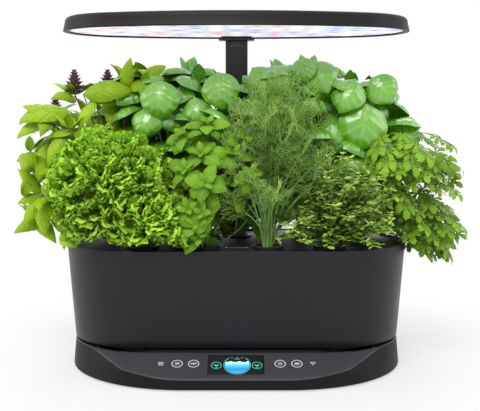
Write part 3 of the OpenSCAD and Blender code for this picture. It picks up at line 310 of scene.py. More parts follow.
def stem_material(name, low, high):
    """Stalk, bud or bract: fine mottling of two tones"""
    material, tree, shader = new_material(name)
    links = {"Base Color": two_tone(tree, object_noise(tree, 3.0, 3.0), low, high)}
    finish(tree, shader, {"Roughness": 0.5}, links)
    return material


# ---- Mesh helpers ----


class Mesher:
    """Gathers points, faces and UVs in millimetres, then makes one mesh object of them"""

    def __init__(self):
        self.points, self.faces, self.uvs = [], [], []

    def put(self, points, faces, uvs=None, matrix=None):
        """Adds points and faces, moved by a matrix where one is given"""
        start = len(self.points)
        placed = [matrix @ Vector(p) for p in points] if matrix else points
        self.points.extend(tuple(p) for p in placed)
        self.uvs.extend(uvs or [(0.5, 0.5)] * len(points))
        self.faces.extend([start + i for i in face] for face in faces)

    def loft(self, rings, closed=False):
        """Skin over rings of equally many points, closed on itself or with a centre point in each end"""
        n = len(rings[0])
        points = [p for ring in rings for p in ring]
        last = len(rings) - 1
        faces = []
        for r in range(last + (1 if closed else 0)):
            a, b = r * n, ((r + 1) % len(rings)) * n
            for k in range(n):
                k2 = (k + 1) % n
                faces.append([a + k, a + k2, b + k2, b + k])
        if not closed:
            for ring, base, flip in ((rings[0], 0, True), (rings[-1], last * n, False)):
                points.append(tuple(sum(p[i] for p in ring) / n for i in range(3)))
                m = len(points) - 1
                for k in range(n):
                    k2 = (k + 1) % n
                    faces.append([base + k2, base + k, m] if flip else [base + k, base + k2, m])
        self.put(points, faces)

    def tube(self, path, radii, sides=6):
        """Round stalk along a path"""
        rings = []
        for i, p in enumerate(path):
            a = Vector(path[max(0, i - 1)])
            b = Vector(path[min(len(path) - 1, i + 1)])
            along = (b - a).normalized()
            side = along.cross(Vector((0.31, 0.95, 0.05))).normalized()
            other = along.cross(side)
            ring = []
            for j in range(sides):
                t = 2 * math.pi * j / sides
                ring.append(tuple(Vector(p) + radii[i] * (math.cos(t) * side + math.sin(t) * other)))
            rings.append(ring)
        self.loft(rings)

    def make(self, name, materials, smooth):
        """Mesh object of all that was put in, smooth up to an angle in degrees"""
        mesh = bpy.data.meshes.new(name)
        mesh.from_pydata([(x * MM, y * MM, z * MM) for x, y, z in self.points], [], self.faces)
        layer = mesh.uv_layers.new(name="UVMap")
        for loop in mesh.loops:
            layer.data[loop.index].uv = self.uvs[loop.vertex_index]
        for material in materials:
            mesh.materials.append(material)
        obj = bpy.data.objects.new(name, mesh)
        bpy.context.scene.collection.objects.link(obj)
        soften(obj, smooth)
        return obj


def soften(obj, angle):
    """Smooth shading with sharp edges above an angle"""
    mesh = obj.data
    mesh.polygons.foreach_set("use_smooth", [True] * len(mesh.polygons))
    mesh.set_sharp_from_angle(angle=math.radians(angle))
    mesh.update()


def clamp(value, low=0.0, high=1.0):
    """The value, kept between two limits"""
    return max(low, min(high, value))


def circle(x, y, z, r, sides):
    """Ring of points round an upright axis"""
    turns = [2 * math.pi * k / sides for k in range(sides)]
    return [(x + r * math.cos(a), y + r * math.sin(a), z) for a in turns]


def stadium(w, d, z):
    """Ring of points of a bar with half-round ends"""
    ring = []
    for k in range(SIDES):
        a = (k + 0.5) * 2 * math.pi / SIDES
        x = math.copysign((w - d) / 2, math.cos(a)) + d / 2 * math.cos(a)
        ring.append((x, d / 2 * math.sin(a), z))
    return ring


def oval(inset, z):
    """Ring of points of the hood's outline: four arcs"""
    w, d, end_r = HOOD_W - 2 * inset, HOOD_D - 2 * inset, HOOD_END_R - inset
    run = w / 2 - end_r
    side_r = (run * run + d * d / 4 - end_r * end_r) / (d - 2 * end_r)
    reach = side_r - d / 2
    turn = math.atan2(reach, run)
    ring = []
    for k in range(SIDES):
        a = (k + 0.5) * 2 * math.pi / SIDES
        c, s = math.cos(a), math.sin(a)
        if abs(s) > math.sin(turn):
            p = (side_r * c, math.copysign(side_r * abs(s) - reach, s))
        else:
            p = (math.copysign(run, c) + end_r * c, end_r * s)
        ring.append((p[0], HOOD_Y + p[1], z))
    return ring


def round_bar(w, d, r, z, y0, sides=8):
    """Ring of points of a rectangle with round corners"""
    ring = []
    for quarter, (sx, sy) in enumerate(((1, 1), (-1, 1), (-1, -1), (1, -1))):
        for j in range(sides + 1):
            a = (quarter + j / sides) * math.pi / 2
            ring.append((sx * (w / 2 - r) + r * math.cos(a), y0 + sy * (d / 2 - r) + r * math.sin(a), z))
    return ring


def brow_point(k, inset):
    """Point of the base's upper outline: wide shoulders that run in to the bowl's round ends"""
    a_full = (k + 0.5) * 2 * math.pi / SIDES
    sx, sy = math.copysign(1, math.cos(a_full)), math.copysign(1, math.sin(a_full))
    a = math.acos(abs(math.cos(a_full)))
    r, big_r = BROW_D / 2 - inset, BASE_D / 2 - inset
    mid, big_mid = BROW_RUN, (BASE_W - BASE_D) / 2
    shoulder_a = math.acos((SHOULDER_W / 2 - big_mid) / big_r)
    shoulder = (big_mid + big_r * math.cos(shoulder_a), big_r * math.sin(shoulder_a))
    off = (shoulder[0] - mid, shoulder[1])
    end_a = math.atan2(off[1], off[0]) - math.acos(r / math.hypot(*off))
    end = (mid + r * math.cos(end_a), r * math.sin(end_a))
    if a > shoulder_a:
        p = (big_mid + big_r * math.cos(a), big_r * math.sin(a))
    elif a < end_a:
        p = (mid + r * math.cos(a), r * math.sin(a))
    else:
        t = (a - end_a) / (shoulder_a - end_a)
        p = (end[0] + (shoulder[0] - end[0]) * t, end[1] + (shoulder[1] - end[1]) * t)
    return sx * p[0], sy * p[1]


def nearest_brow(x, y):
    """Nearest point of the bowl-shaped upper edge of the panel, and the distance to it"""
    cx = clamp(x, -BROW_RUN, BROW_RUN)
    off = math.hypot(x - cx, y)
    scale = BROW_D / 2 / max(off, 1e-6)
    return cx + (x - cx) * scale, y * scale, max(0.0, off - BROW_D / 2)


def fall_height(x, y):
    """Height of the base's roof: flat behind, sloping away in front as the panel"""
    ease = clamp(y / FLAT_Y)
    return BASE_H - math.tan(PANEL_SLOPE) * nearest_brow(x, y)[2] * ease * ease * (3 - 2 * ease)


def on_panel(u, v, w):
    """Point in the panel's frame: u to the right, v up the slope, w out of it"""
    c, s = math.cos(PANEL_SLOPE), math.sin(PANEL_SLOPE)
    return (u, -BASE_D / 2 + v * c - w * s, PANEL_LOW_Z + v * s + w * c)


def curve_at(a, b, c, t):
    """Point on a quadratic curve"""
    return a * (1 - t) * (1 - t) + b * 2 * t * (1 - t) + c * t * t


def place(obj, body, replaced=()):
    """Makes a finished piece ride on its body and stand for its nodes"""
    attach(obj, body)
    if replaced:
        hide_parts(*replaced)
    return obj


def give(material, *nodes):
    """Gives carried-over nodes a better material in every slot"""
    for node in nodes:
        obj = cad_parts[node]
        if not obj.material_slots:
            obj.data.materials.append(material)
        for item in obj.material_slots:
            item.material = material


def cut(obj, cutter):
    """Takes a closed cutter out of a piece and applies the result"""
    modifier = obj.modifiers.new("cut", "BOOLEAN")
    modifier.operation = "DIFFERENCE"
    modifier.solver = "EXACT"
    modifier.object = cutter
    depsgraph = bpy.context.evaluated_depsgraph_get()
    mesh = bpy.data.meshes.new_from_object(obj.evaluated_get(depsgraph))
    obj.modifiers.clear()
    old = obj.data
    obj.data = mesh
    bpy.data.meshes.remove(old)
    bpy.data.objects.remove(cutter)
    soften(obj, 30.0)


# ---- Properties ----


class GardenSizes(bpy.types.PropertyGroup):
    """Sizes and counts that a user would change"""

    basil_leaf: bpy.props.FloatProperty(
        name="Basil leaf",
        description="Length of a large basil leaf",
        default=0.058,
        min=0.03,
        max=0.08,
        unit="LENGTH",
    )
    mint_leaf: bpy.props.FloatProperty(
        name="Mint leaf", description="Length of a mint leaf", default=0.029, min=0.02, max=0.05, unit="LENGTH"
    )
    parsley_leaf: bpy.props.FloatProperty(
        name="Parsley leaf",
        description="Length of a flat parsley leaf",
        default=0.042,
        min=0.025,
        max=0.07,
        unit="LENGTH",
    )
    curl_count: bpy.props.IntProperty(
        name="Curly sprays", description="Sprays on the curly parsley", default=420, min=50, max=500
    )
    seed: bpy.props.IntProperty(name="Seed", description="Seed of the herbs' growth", default=7, min=1, max=999)


class GardenColours(bpy.types.PropertyGroup):
    """Colours that a user would change"""

    base: bpy.props.StringProperty(name="Base", description="Colour of the base as sRGB hex", default="#141416")
    bowl: bpy.props.StringProperty(name="Bowl", description="Colour of the bowl as sRGB hex", default="#1d1e22")
    hood: bpy.props.StringProperty(name="Hood", description="Colour of the hood as sRGB hex", default="#131312")


# ---- Studio ----


class GARDEN_OT_stage(bpy.types.Operator):
    """Camera, pale floor, white backdrop and soft lamps"""

    bl_idname = "garden.stage"
    bl_label = "Studio"

    def execute(self, context):
        scene = context.scene
        scene.view_settings.view_transform = "Standard"
        self.camera(scene)
        self.world(scene)
        self.floor(scene)
        for name, at, size, power in (
            ("softbox_front", (-0.35, -1.35, 1.95), 1.2, 27.0),
            ("softbox_left", (-1.7, -0.3, 1.2), 1.3, 9.0),
            ("softbox_right", (1.75, -0.5, 1.3), 1.2, 8.0),
            ("softbox_back", (0.2, 1.5, 1.5), 1.4, 10.0),
        ):
            light = bpy.data.lights.new(name, "AREA")
            light.size = size
            light.energy = power
            lamp = bpy.data.objects.new(name, light)
            lamp.location = at
            aim = Vector((0, 0, 0.22)) - Vector(at)
            lamp.rotation_euler = aim.to_track_quat("-Z", "Y").to_euler()
            scene.collection.objects.link(lamp)
        return {"FINISHED"}

    def camera(self, scene):
        """Camera solved from the outlines of base, bowl and hood"""
        data = bpy.data.cameras.new("camera")
        data.lens = 69.07
        data.sensor_width = 36.0
        data.sensor_fit = "HORIZONTAL"
        camera = bpy.data.objects.new("camera", data)
        camera.location = (0.0046, -1.1478, 0.3126)
        camera.rotation_euler = (math.radians(90 - 5.85), 0, 0)
        scene.collection.objects.link(camera)
        scene.camera = camera

    def seen(self, tree):
        """1 for rays that show the backdrop itself, 0 for those that light the object"""
        path = add(tree, "ShaderNodeLightPath").outputs
        first = worked(tree, "MAXIMUM", path["Is Camera Ray"], path["Is Glossy Ray"])
        return worked(tree, "MAXIMUM", first, path["Is Transmission Ray"])

    def world(self, scene):
        """White to the eye, and softer as a light"""
        world = bpy.data.worlds.new("studio")
        scene.world = world
        world.use_nodes = True
        tree = world.node_tree
        tree.nodes.clear()
        shown, light = (
            add(tree, "ShaderNodeBackground", {"Color": (1, 1, 1, 1), "Strength": strength}).outputs[0]
            for strength in (1.0, 0.42)
        )
        mix = add(tree, "ShaderNodeMixShader", {}, {0: self.seen(tree), 1: light, 2: shown})
        add(tree, "ShaderNodeOutputWorld", {}, {"Surface": mix.outputs[0]})

    def floor(self, scene):
        """Matte white paper that takes the object's shade, and fades into the white backdrop"""
        material = bpy.data.materials.new("floor_matte_white_paper")
        material.use_nodes = True
        tree = material.node_tree
        tree.nodes.clear()
        tone = two_tone(tree, object_noise(tree, 0.8), "#f6f6f5", "#fbfbfa")
        paper = add(tree, "ShaderNodeBsdfDiffuse", {}, {"Color": tone})
        shown = add(tree, "ShaderNodeEmission", {"Color": (1, 1, 1, 1), "Strength": 1.0})
        far = add(tree, "ShaderNodeVectorMath", {"operation": "LENGTH"}, {0: in_object(tree)})
        away = spread(tree, far.outputs["Value"], 0.5, 1.0, 0.22, 0.5)
        factor = worked(tree, "MULTIPLY", away, self.seen(tree))
        mix = add(tree, "ShaderNodeMixShader", {}, {0: factor, 1: paper.outputs[0], 2: shown.outputs[0]})
        add(tree, "ShaderNodeOutputMaterial", {}, {"Surface": mix.outputs[0]})
        mesh = bpy.data.meshes.new("floor")
        mesh.from_pydata([(-6, -6, 0), (6, -6, 0), (6, 6, 0), (-6, 6, 0)], [], [[0, 1, 2, 3]])
        mesh.materials.append(material)
        floor = bpy.data.objects.new("floor", mesh)
        scene.collection.objects.link(floor)


# ---- Base ----


class GARDEN_OT_base(bpy.types.Operator):
    """Base housing with its sloped panel, window recess, mast collar and finishes of the pieces inside it"""

    bl_idname = "garden.base"
    bl_label = "Base"

    def profile(self, k):
        """Section of the housing at one place round it, from the underside to the middle of the roof"""
        low = stadium(BASE_W, BASE_D, 0)[k]
        top = brow_point(k, 0.0)

        def wall(s):
            """Point of the outer wall, from 0 at its lower edge to 1 at the roof"""
            x, y = (low[i] + (top[i] - low[i]) * s for i in (0, 1))
            return (x, y, PROFILE_Z + (BASE_H - PROFILE_Z) * s)

        lo, hi = 0.0, 1.0
        for _ in range(30):
            s = (lo + hi) / 2
            p = wall(s)
            lo, hi = (s, hi) if p[2] < fall_height(p[0], p[1]) else (lo, s)
        crease = Vector(wall((lo + hi) / 2))
        down = (Vector(wall(0)) - crease).normalized()
        bx, by, off = nearest_brow(crease.x, crease.y)
        if off < 3.5 or crease.y > FLAT_Y:
            # Where the panel doesn't reach, the roof starts 6 mm in from the wall
            cx = clamp(crease.x, -BROW_RUN, BROW_RUN)
            t = 6.0 / math.hypot(crease.x - cx, crease.y)
            bx, by = crease.x + (cx - crease.x) * t, crease.y * (1 - t)
        edge = Vector((bx, by, fall_height(bx, by)))
        up = (edge - crease).normalized()
        r = min(2.2, 0.4 * (crease - Vector(wall(0))).length)
        a, b = crease + down * r, crease + up * min(r, 0.4 * (edge - crease).length)
        points = [wall(0.0)] + [tuple(Vector(wall(0)).lerp(a, 0.5)), tuple(a)]
        points += [tuple(curve_at(a, crease, b, t)) for t in (0.25, 0.5, 0.75)]
        points += [tuple(b.lerp(edge, t)) for t in (0.0, 0.25, 0.5, 0.75, 0.96)]
        run = clamp(edge.x, -BROW_RUN, BROW_RUN)
        groove = [(0.988, 0.0), (0.984, -0.6), (0.984, -TROUGH), (0.87, -TROUGH), (0.86, 0.0)]
        for share, z in groove + [(0.6, 0.0), (0.3, 0.0)]:
            points.append((run * min(1.0, share * 1.05) + (edge.x - run) * share, edge.y * share, BASE_H + z))
        return points

    def lining(self, k):
        """Inner face of the housing at one place round it, from the middle of the roof down to its lower edge"""
        low = stadium(BASE_W - 2 * BASE_WALL, BASE_D - 2 * BASE_WALL, BASE_LOW)[k]
        top = brow_point(k, BASE_WALL)
        wall = [tuple(low[j] + (top[j] - low[j]) * (i / 24) for j in (0, 1)) for i in range(25)]
        level = [PROFILE_Z + (BASE_H - PROFILE_Z) * i / 24 for i in range(25)]
        stop = max(i for i in range(25) if level[i] <= fall_height(*wall[i]) - BASE_WALL or i == 0)
        corner = (wall[stop][0], wall[stop][1], level[stop])
        bx, by, off = nearest_brow(corner[0], corner[1])
        edge = (bx * 0.97, by * 0.97) if off > 3 else (corner[0] * 0.97, corner[1] * 0.97)
        roof = BASE_H - BASE_WALL - 0.1
        return [(edge[0] * 0.5, edge[1] * 0.5, roof), (edge[0], edge[1], roof), corner, low]

    def execute(self, context):
        colours = context.scene.garden_colours
        # Black spark-eroded plastic: near black, with a broad soft sheen and no sharp gleam
        shell = moulded("housing_textured_abs", colours.base, "#18181a", 0.5, 0.9, 0.012, mirror=0.16)
        # Painted top light: a lighter, glossier copy of the housing plastic on the sloped panel, whose faces look up
        # and catch more light than the wall below it
        top_light_copy = moulded("housing_abs_painted_top_light", "#3a3b3f", "#404145", 0.4, 0.7, 0.006, mirror=0.35)
        mesher = Mesher()
        rings = [list(ring) for ring in zip(*(self.profile(k) for k in range(SIDES)))]
        under = [list(ring) for ring in zip(*(self.lining(k) for k in range(SIDES)))]
        under += [stadium(BASE_W - 2.4, BASE_D - 2.4, BASE_LOW), stadium(BASE_W - 0.8, BASE_D - 0.8, BASE_LOW + 0.4)]
        mesher.loft(under + rings)
        body = mesher.make("base_shell", [shell, top_light_copy], 32.0)
        self.lay_top_light_copy(body)
        self.cut_openings(body)
        place(body, "base", ["base_housing"])
        place(self.collar(shell), "base", [])
        # Rougher plastic that stays in the shade under the base: flat dark grey
        give(moulded("cover_textured_abs", "#1d1e20", "#242527", 0.6, 0.9, 0.02), "base_bottom_cover")
        # Rubber: dull black that takes light evenly
        give(moulded("foot_moulded_rubber", "#1c1c1c", "#262626", 0.85, 0.5, 0.02), "rubber_feet")
        # Zinc plate: small cool grey glints
        give(brushed_metal("screw_zinc_plated_steel", "#b9bcc0", 0.35, 0.2), "cover_screws", "mast_screws")
        # Solder mask: clear coat over green, so it looks wet
        mask = moulded("board_solder_masked_laminate", "#17573a", "#1c6644", 0.4, 0.6, 0.01, coat=0.3)
        give(mask, "touch_board", "main_board")
        # Stamped tin: a soft grey mirror
        tin = moulded("display_module_stamped_tin", "#565b61", "#62676d", 0.4, 0.5, 0.01, metallic=1.0)
        give(tin, "display_module")
        # Glossy plastic: black with a small bright gleam at its edge
        give(moulded("inlet_glossy_pbt", "#131313", "#1b1b1b", 0.3, 0.4, 0.005), "dc_jack")
        # Enamelled wire: orange-brown metal with a warm sheen
        coil = moulded("stator_enamelled_copper", "#a5602e", "#b9713a", 0.35, 0.6, 0.03, metallic=1.0)
        give(coil, "pump_stator")
        return {"FINISHED"}

    def lay_top_light_copy(self, body):
        """Gives the sloped faces in front, which look up, the lighter copy of the housing plastic: painted top light"""
        for poly in body.data.polygons:
            n, at = poly.normal, poly.center
            # Faces that look up and forward get the painted top light
            if at.y < -0.02 and 0.5 < n.z < 0.985 and n.y < -0.1 and at.z > 0.012:
                poly.material_index = 1

    def cut_openings(self, body):
        """Recess of the display window, socket of the mast and hole of the power inlet"""
        window = Mesher()
        v0 = DISPLAY_LOW + DISPLAY_L / 2
        outline = round_bar(DISPLAY_W + 0.5, DISPLAY_L + 0.5, 2.2, 0, 0)
        window.loft([[on_panel(u, v0 + v, w) for u, v, z in outline] for w in (-1.6, 4.0)])
        cut(body, window.make("window_cutter", [], 40.0))
        socket = Mesher()
        socket.loft([round_bar(MAST_W + 0.6, MAST_D + 0.6, 4, z, MAST_Y + MAST_D / 2) for z in (26.0, 38.0)])
        cut(body, socket.make("socket_cutter", [], 40.0))
        jack = Mesher()
        jack.tube([(40, 136, 15), (40, 150, 15)], [4.6, 4.6], 48)
        cut(body, jack.make("jack_cutter", [], 40.0))

    def collar(self, shell):
        """Collar round the mast, with a fillet down to the base"""
        mid = MAST_Y + MAST_D / 2
        outer = [(46, 34, 6, 33.3), (43, 31, 5.6, 33.6), (40.6, 28.6, 5.2, 34.6), (39, 27, 4.8, 36.6)]
        outer += [(38.2, 26.2, 4.4, 41.3), (37.6, 25.6, 4.2, 42.2), (36.2, 24.2, 4.0, 42.5)]
        inner = [(30.6, 18.6, 4.1, 42.5), (30.4, 18.4, 4.0, 42.1), (30.4, 18.4, 4.0, 33.3)]
        mesher = Mesher()
        mesher.loft([round_bar(w, d, r, z, mid) for w, d, r, z in outer + inner], closed=True)
        return mesher.make("mast_collar", [shell], 35.0)


class GARDEN_OT_display(bpy.types.Operator):
    """Display window with its lit water gauge, and the printed touch symbols beside it"""

    bl_idname = "garden.display"
    bl_label = "Display and symbols"

    INK = 0.06  # thickness of every printed or lit mark

    def sheet(self, mesher, outline):
        """Thin closed plate of a flat outline on the panel"""
        mesher.loft([[on_panel(u, v, w) for u, v in outline] for w in (0.0, self.INK)])

    def ring(self, mesher, u, v, r, stroke, start=0.0, end=360.0, steps=64):
        """Ring or arc of a stroke"""
        closed = end - start >= 360.0
        count = steps if closed else steps + 1
        rows = []
        for j in range(count):
            a = math.radians(start + (end - start) * j / steps)
            c, s = math.cos(a), math.sin(a)
            cross = [(r - stroke, 0.0), (r, 0.0), (r, self.INK), (r - stroke, self.INK)]
            rows.append([on_panel(u + q * c, v + q * s, w) for q, w in cross])
        points = [p for row in rows for p in row]
        faces = []
        for j in range(count if closed else count - 1):
            a, b = 4 * j, 4 * ((j + 1) % count)
            for q in range(4):
                q2 = (q + 1) % 4
                faces.append([a + q, b + q, b + q2, a + q2])
        if not closed:
            faces.append([0, 1, 2, 3])
            faces.append([4 * count - 1, 4 * count - 2, 4 * count - 3, 4 * count - 4])
        mesher.put(points, faces)

    def bar(self, mesher, u, v, w, h):
        """Bar with round corners"""
        self.sheet(mesher, [(u + x, v + y) for x, y, z in round_bar(w, h, min(w, h) * 0.35, 0, 0, 3)])

    def disc(self, mesher, u, v, r):
        """Round dot"""
        self.sheet(mesher, [(x, y) for x, y, z in circle(u, v, 0, r, 24)])

    def execute(self, context):
        v0 = DISPLAY_LOW + DISPLAY_L / 2
        # Smoked glass: darker and smoother than the panel round it, which is painted lighter by top light, with faint
        # smudges in its gleam
        glass, tree, shader = new_material("window_smoked_glass")
        smudge = spread(tree, object_noise(tree, 14.0), 0.14, 0.22)
        finish(tree, shader, {"Base Color": rgb("#17181b")}, {"Roughness": smudge})
        slab = Mesher()
        rings = []
        for grow, w in ((-0.6, -1.5), (0.0, -1.5), (0.0, -0.25), (-0.15, -0.08), (-0.4, 0.0), (-3.0, 0.0)):
            outline = round_bar(DISPLAY_W + 2 * grow, DISPLAY_L + 2 * grow, max(0.6, 2.0 + grow), 0, 0)
            rings.append([on_panel(u, v0 + v, w) for u, v, z in outline])
        slab.loft(rings)
        place(slab.make("display_glass", [glass], 30.0), "base", ["display_window"])

        # The gauge: a broken ring round a picture of water, a sprout on each side, and a few plain bars
        gauge_u, water_r = 1.4, 14.0
        teal, green, water = Mesher(), Mesher(), Mesher()
        self.ring(teal, gauge_u, v0, 15.6, 0.9, 128, 412)
        for u in (-22.4, 24.1):
            self.ring(teal, u, v0 - 0.6, 6.0, 0.8)
            self.sprout(green, u, v0 - 1.0)
        for u in (-4.5, gauge_u, 7.0):
            self.bar(teal, u, v0 + 13.2 - abs(u - gauge_u) * 0.1, 2.6, 0.7)
        self.bar(teal, gauge_u, v0 + 10.4, 6.5, 0.9)
        ripple = [
            (gauge_u + u, v0 + 5.6 + 0.7 * math.sin(u * 0.62) - 0.25 * math.cos(u * 1.3))
            for u in [12.9 - 25.8 * j / 36 for j in range(37)]
        ]
        below = [math.radians(158 + (382 - 158) * j / 48) for j in range(49)]
        self.sheet(
            water, ripple + [(gauge_u + water_r * math.cos(a), v0 + water_r * math.sin(a)) for a in below]
        )
        # Lit marks shine a little; the printed touch symbols are pale, with a faint painted glow of their own
        for name, mesher, material, slot_name in (
            ("gauge_water", water, gauge_water(), "window"),
            ("gauge_rings", teal, ink("display_teal", "#46b3a4", 0.5), "window"),
            ("gauge_sprouts", green, ink("display_green", "#57c46b", 0.5), "window"),
            ("touch_symbols", self.symbols(), ink("symbol_ink_light_grey", "#c9cacd", 0.12), "housing"),
        ):
            place(mesher.make(name, [material], 30.0), "base", [])
        return {"FINISHED"}

    def sprout(self, mesher, u, v):
        """Two leaves on a stalk over a line"""
        self.bar(mesher, u, v - 0.6, 0.7, 4.6)
        for side in (-1, 1):
            leaf = []
            for j in range(12):
                a = j / 12 * 2 * math.pi
                x, y = 1.75 * math.cos(a), 0.85 * math.sin(a)
                turn = math.radians(42)
                across = x * math.cos(turn) - y * math.sin(turn)
                leaf.append((u + side * (1.5 + across), v + 0.6 + x * math.sin(turn) + y * math.cos(turn)))
            self.sheet(mesher, leaf if side > 0 else leaf[::-1])
        self.bar(mesher, u, v - 2.9, 3.2, 0.6)

    def symbols(self):
        """Generic touch symbols: bars, four ringed buttons and arcs, all on one line of the panel"""
        marks = Mesher()
        v = 27.6
        for row in (-2.1, 0.0, 2.1):
            self.bar(marks, -86.0, v + row, 6.2, 1.1)
        for u in (-67.3, -48.5, 50.5, 69.6):
            self.ring(marks, u, v, 6.5, 1.15)
        for row in (-1.7, 0.0, 1.7):
            self.bar(marks, -67.3, v + row, 5.2, 0.9)
        for side in (-1, 1):
            self.ring(marks, -48.5 + side * 1.9, v + 0.6, 1.9, 0.75, 180, 360, steps=16)
        self.bar(marks, -48.5, v + 1.1, 6.8, 0.9)
        self.bar(marks, -48.5, v - 0.9, 0.8, 2.8)
        self.ring(marks, 50.5, v, 2.6, 0.9, steps=32)
        self.disc(marks, 50.5, v, 0.7)
        dome = [(69.6 + 3.4 * math.cos(a), v - 0.6 + 2.6 * math.sin(a)) for a in [math.pi * j / 16 for j in range(17)]]
        self.sheet(marks, dome)
        self.bar(marks, 69.6, v - 1.7, 5.2, 0.8)
        for r in (4.4, 2.9):
            self.ring(marks, 88.0, v - 2.2, r + 0.9, 0.85, 48, 132, steps=16)
        self.disc(marks, 88.0, v - 1.6, 0.9)
        return marks


# ---- Bowl, deck and pump ----


class GARDEN_OT_bowl(bpy.types.Operator):
    """Water bowl with its wall, rounded rim, ledge and foot"""

    bl_idname = "garden.bowl"
    bl_label = "Bowl"

    def ring(self, z, inset):
        """Ring of the bowl at a height, moved in from its wall"""
        t = (z - BOWL_LOW[2]) / (BOWL_RIM[2] - BOWL_LOW[2])
        w = BOWL_LOW[0] + (BOWL_RIM[0] - BOWL_LOW[0]) * t
        d = BOWL_LOW[1] + (BOWL_RIM[1] - BOWL_LOW[1]) * t
        return stadium(w - 2 * inset, d - 2 * inset, z)

    def execute(self, context):
        colours = context.scene.garden_colours
        low, rim = BOWL_LOW[2], BOWL_RIM[2]
        inner = BOWL_WALL + LEDGE_W
        rows = [(low + 1.0, 16), (low + 1.0, FOOT_IN), (FOOT_Z, FOOT_IN - 0.3), (FOOT_Z, FOOT_OUT + 0.4)]
        rows += [(low, FOOT_OUT), (low, 2.2), (low + 0.5, 0.8), (low + 1.8, 0.1)]
        rows += [(low + (rim - low) * t, 0.0) for t in (0.1, 0.25, 0.5, 0.75, 0.95)]
        rows += [(rim - 1.2, 0.0), (rim - 0.45, 0.15), (rim - 0.1, 0.5), (rim, 1.0), (rim - 0.05, 1.8)]
        rows += [(rim - 0.5, BOWL_WALL), (LEDGE_Z, BOWL_WALL), (LEDGE_Z, inner), (BOWL_FLOOR_Z + 6, inner)]
        rows += [(BOWL_FLOOR_Z + 1.5, inner + 1.5), (BOWL_FLOOR_Z, inner + 6)]
        mesher = Mesher()
        mesher.loft([self.ring(z, inset) for z, inset in rows])
        # Seats of the pump cover, the float's post and the impeller's shaft: place, radii and height
        for seat in ((0, 29, 26.3, 2), (178, 7, 4.1, 2), (0, 4, 1.6, 3)):
            self.boss(mesher, *seat)
        # Satin plastic: charcoal with a smooth sheen that runs down its round ends
        satin = moulded("bowl_satin_abs", colours.bowl, "#212226", 0.38, 1.1, 0.008, mirror=0.26)
        place(mesher.make("bowl_shell", [satin], 32.0), "bowl", ["bowl"])
        return {"FINISHED"}

    def boss(self, mesher, x, outer, inner, h):
        """Raised ring on the bowl's floor"""
        z = BOWL_FLOOR_Z
        rows = [(outer, z - 0.5), (outer, z + h - 0.3), (outer - 0.3, z + h), (inner, z + h), (inner, z - 0.5)]
        mesher.loft([circle(x, 0, level, r, 48) for r, level in rows], closed=True)


class GARDEN_OT_deck(bpy.types.Operator):
    """Finishes of the grow deck, baskets and fill lid, and the foam grow sponges"""

    bl_idname = "garden.deck"
    bl_label = "Deck and pods"

    def execute(self, context):
        # Matte plastic: a flat dark floor that lets the herbs stand out
        give(moulded("deck_matte_abs", "#202124", "#292a2d", 0.55, 0.9, 0.015), "grow_deck")
        # Polypropylene: a waxy grey, a little lighter than the deck
        basket = moulded("basket_moulded_polypropylene", "#2a2b2f", "#35363a", 0.42, 0.8, 0.01)
        give(basket, *(f"grow_basket_{i + 1}" for i in range(len(PODS))))
        # Satin plastic: between the deck and the bowl, so that the lid can be told from both
        give(moulded("lid_satin_abs", "#232427", "#2c2d30", 0.45, 0.9, 0.01), "fill_lid")
        # Ground steel: one bright line along the pin
        give(brushed_metal("pin_ground_steel", "#c2c5c9", 0.25, 0.15), "fill_lid_pin")
        # Bound peat: brown crumbs, with painted shade in the pores between them
        peat = foam("sponge_bound_peat_foam", "#2a1c12", "#6b4f38", 1.1)
        for i, (x, y) in enumerate(PODS):
            place(self.sponge(i, x, y, peat), "deck", [f"grow_sponge_{i + 1}"])
        return {"FINISHED"}

    def sponge(self, i, x, y, peat):
        """Tapered plug of bound peat with a planting hole, its skin a little uneven"""
        chance = random.Random(40 + i)
        low_z, top_r, low_r = 100.1, 14.7, 10.7
        rows = [(0.8, low_z + 0.3), (low_r - 0.8, low_z), (low_r, low_z + 1.0)]
        rows += [(low_r + (top_r - low_r) * t, low_z + (SPONGE_TOP - low_z) * t) for t in (0.2, 0.4, 0.6, 0.8, 0.96)]
        rows += [(top_r - 1.2, SPONGE_TOP), (9.0, SPONGE_TOP - 0.1), (5.4, SPONGE_TOP - 0.2), (4.4, SPONGE_TOP - 1.4)]
        rows += [(3.6, SPONGE_TOP - 12), (0.6, SPONGE_TOP - 13)]
        rings = []
        for r, z in rows:
            ring = []
            for k in range(40):
                a = k / 20 * math.pi
                rr = r * (1 - 0.035 * chance.random()) if r > 1 else r
                ring.append((x + rr * math.cos(a), y + rr * math.sin(a), z - 0.25 * chance.random()))
            rings.append(ring)
        mesher = Mesher()
        mesher.loft(rings)
        return mesher.make(f"sponge_{i + 1}", [peat], 60.0)


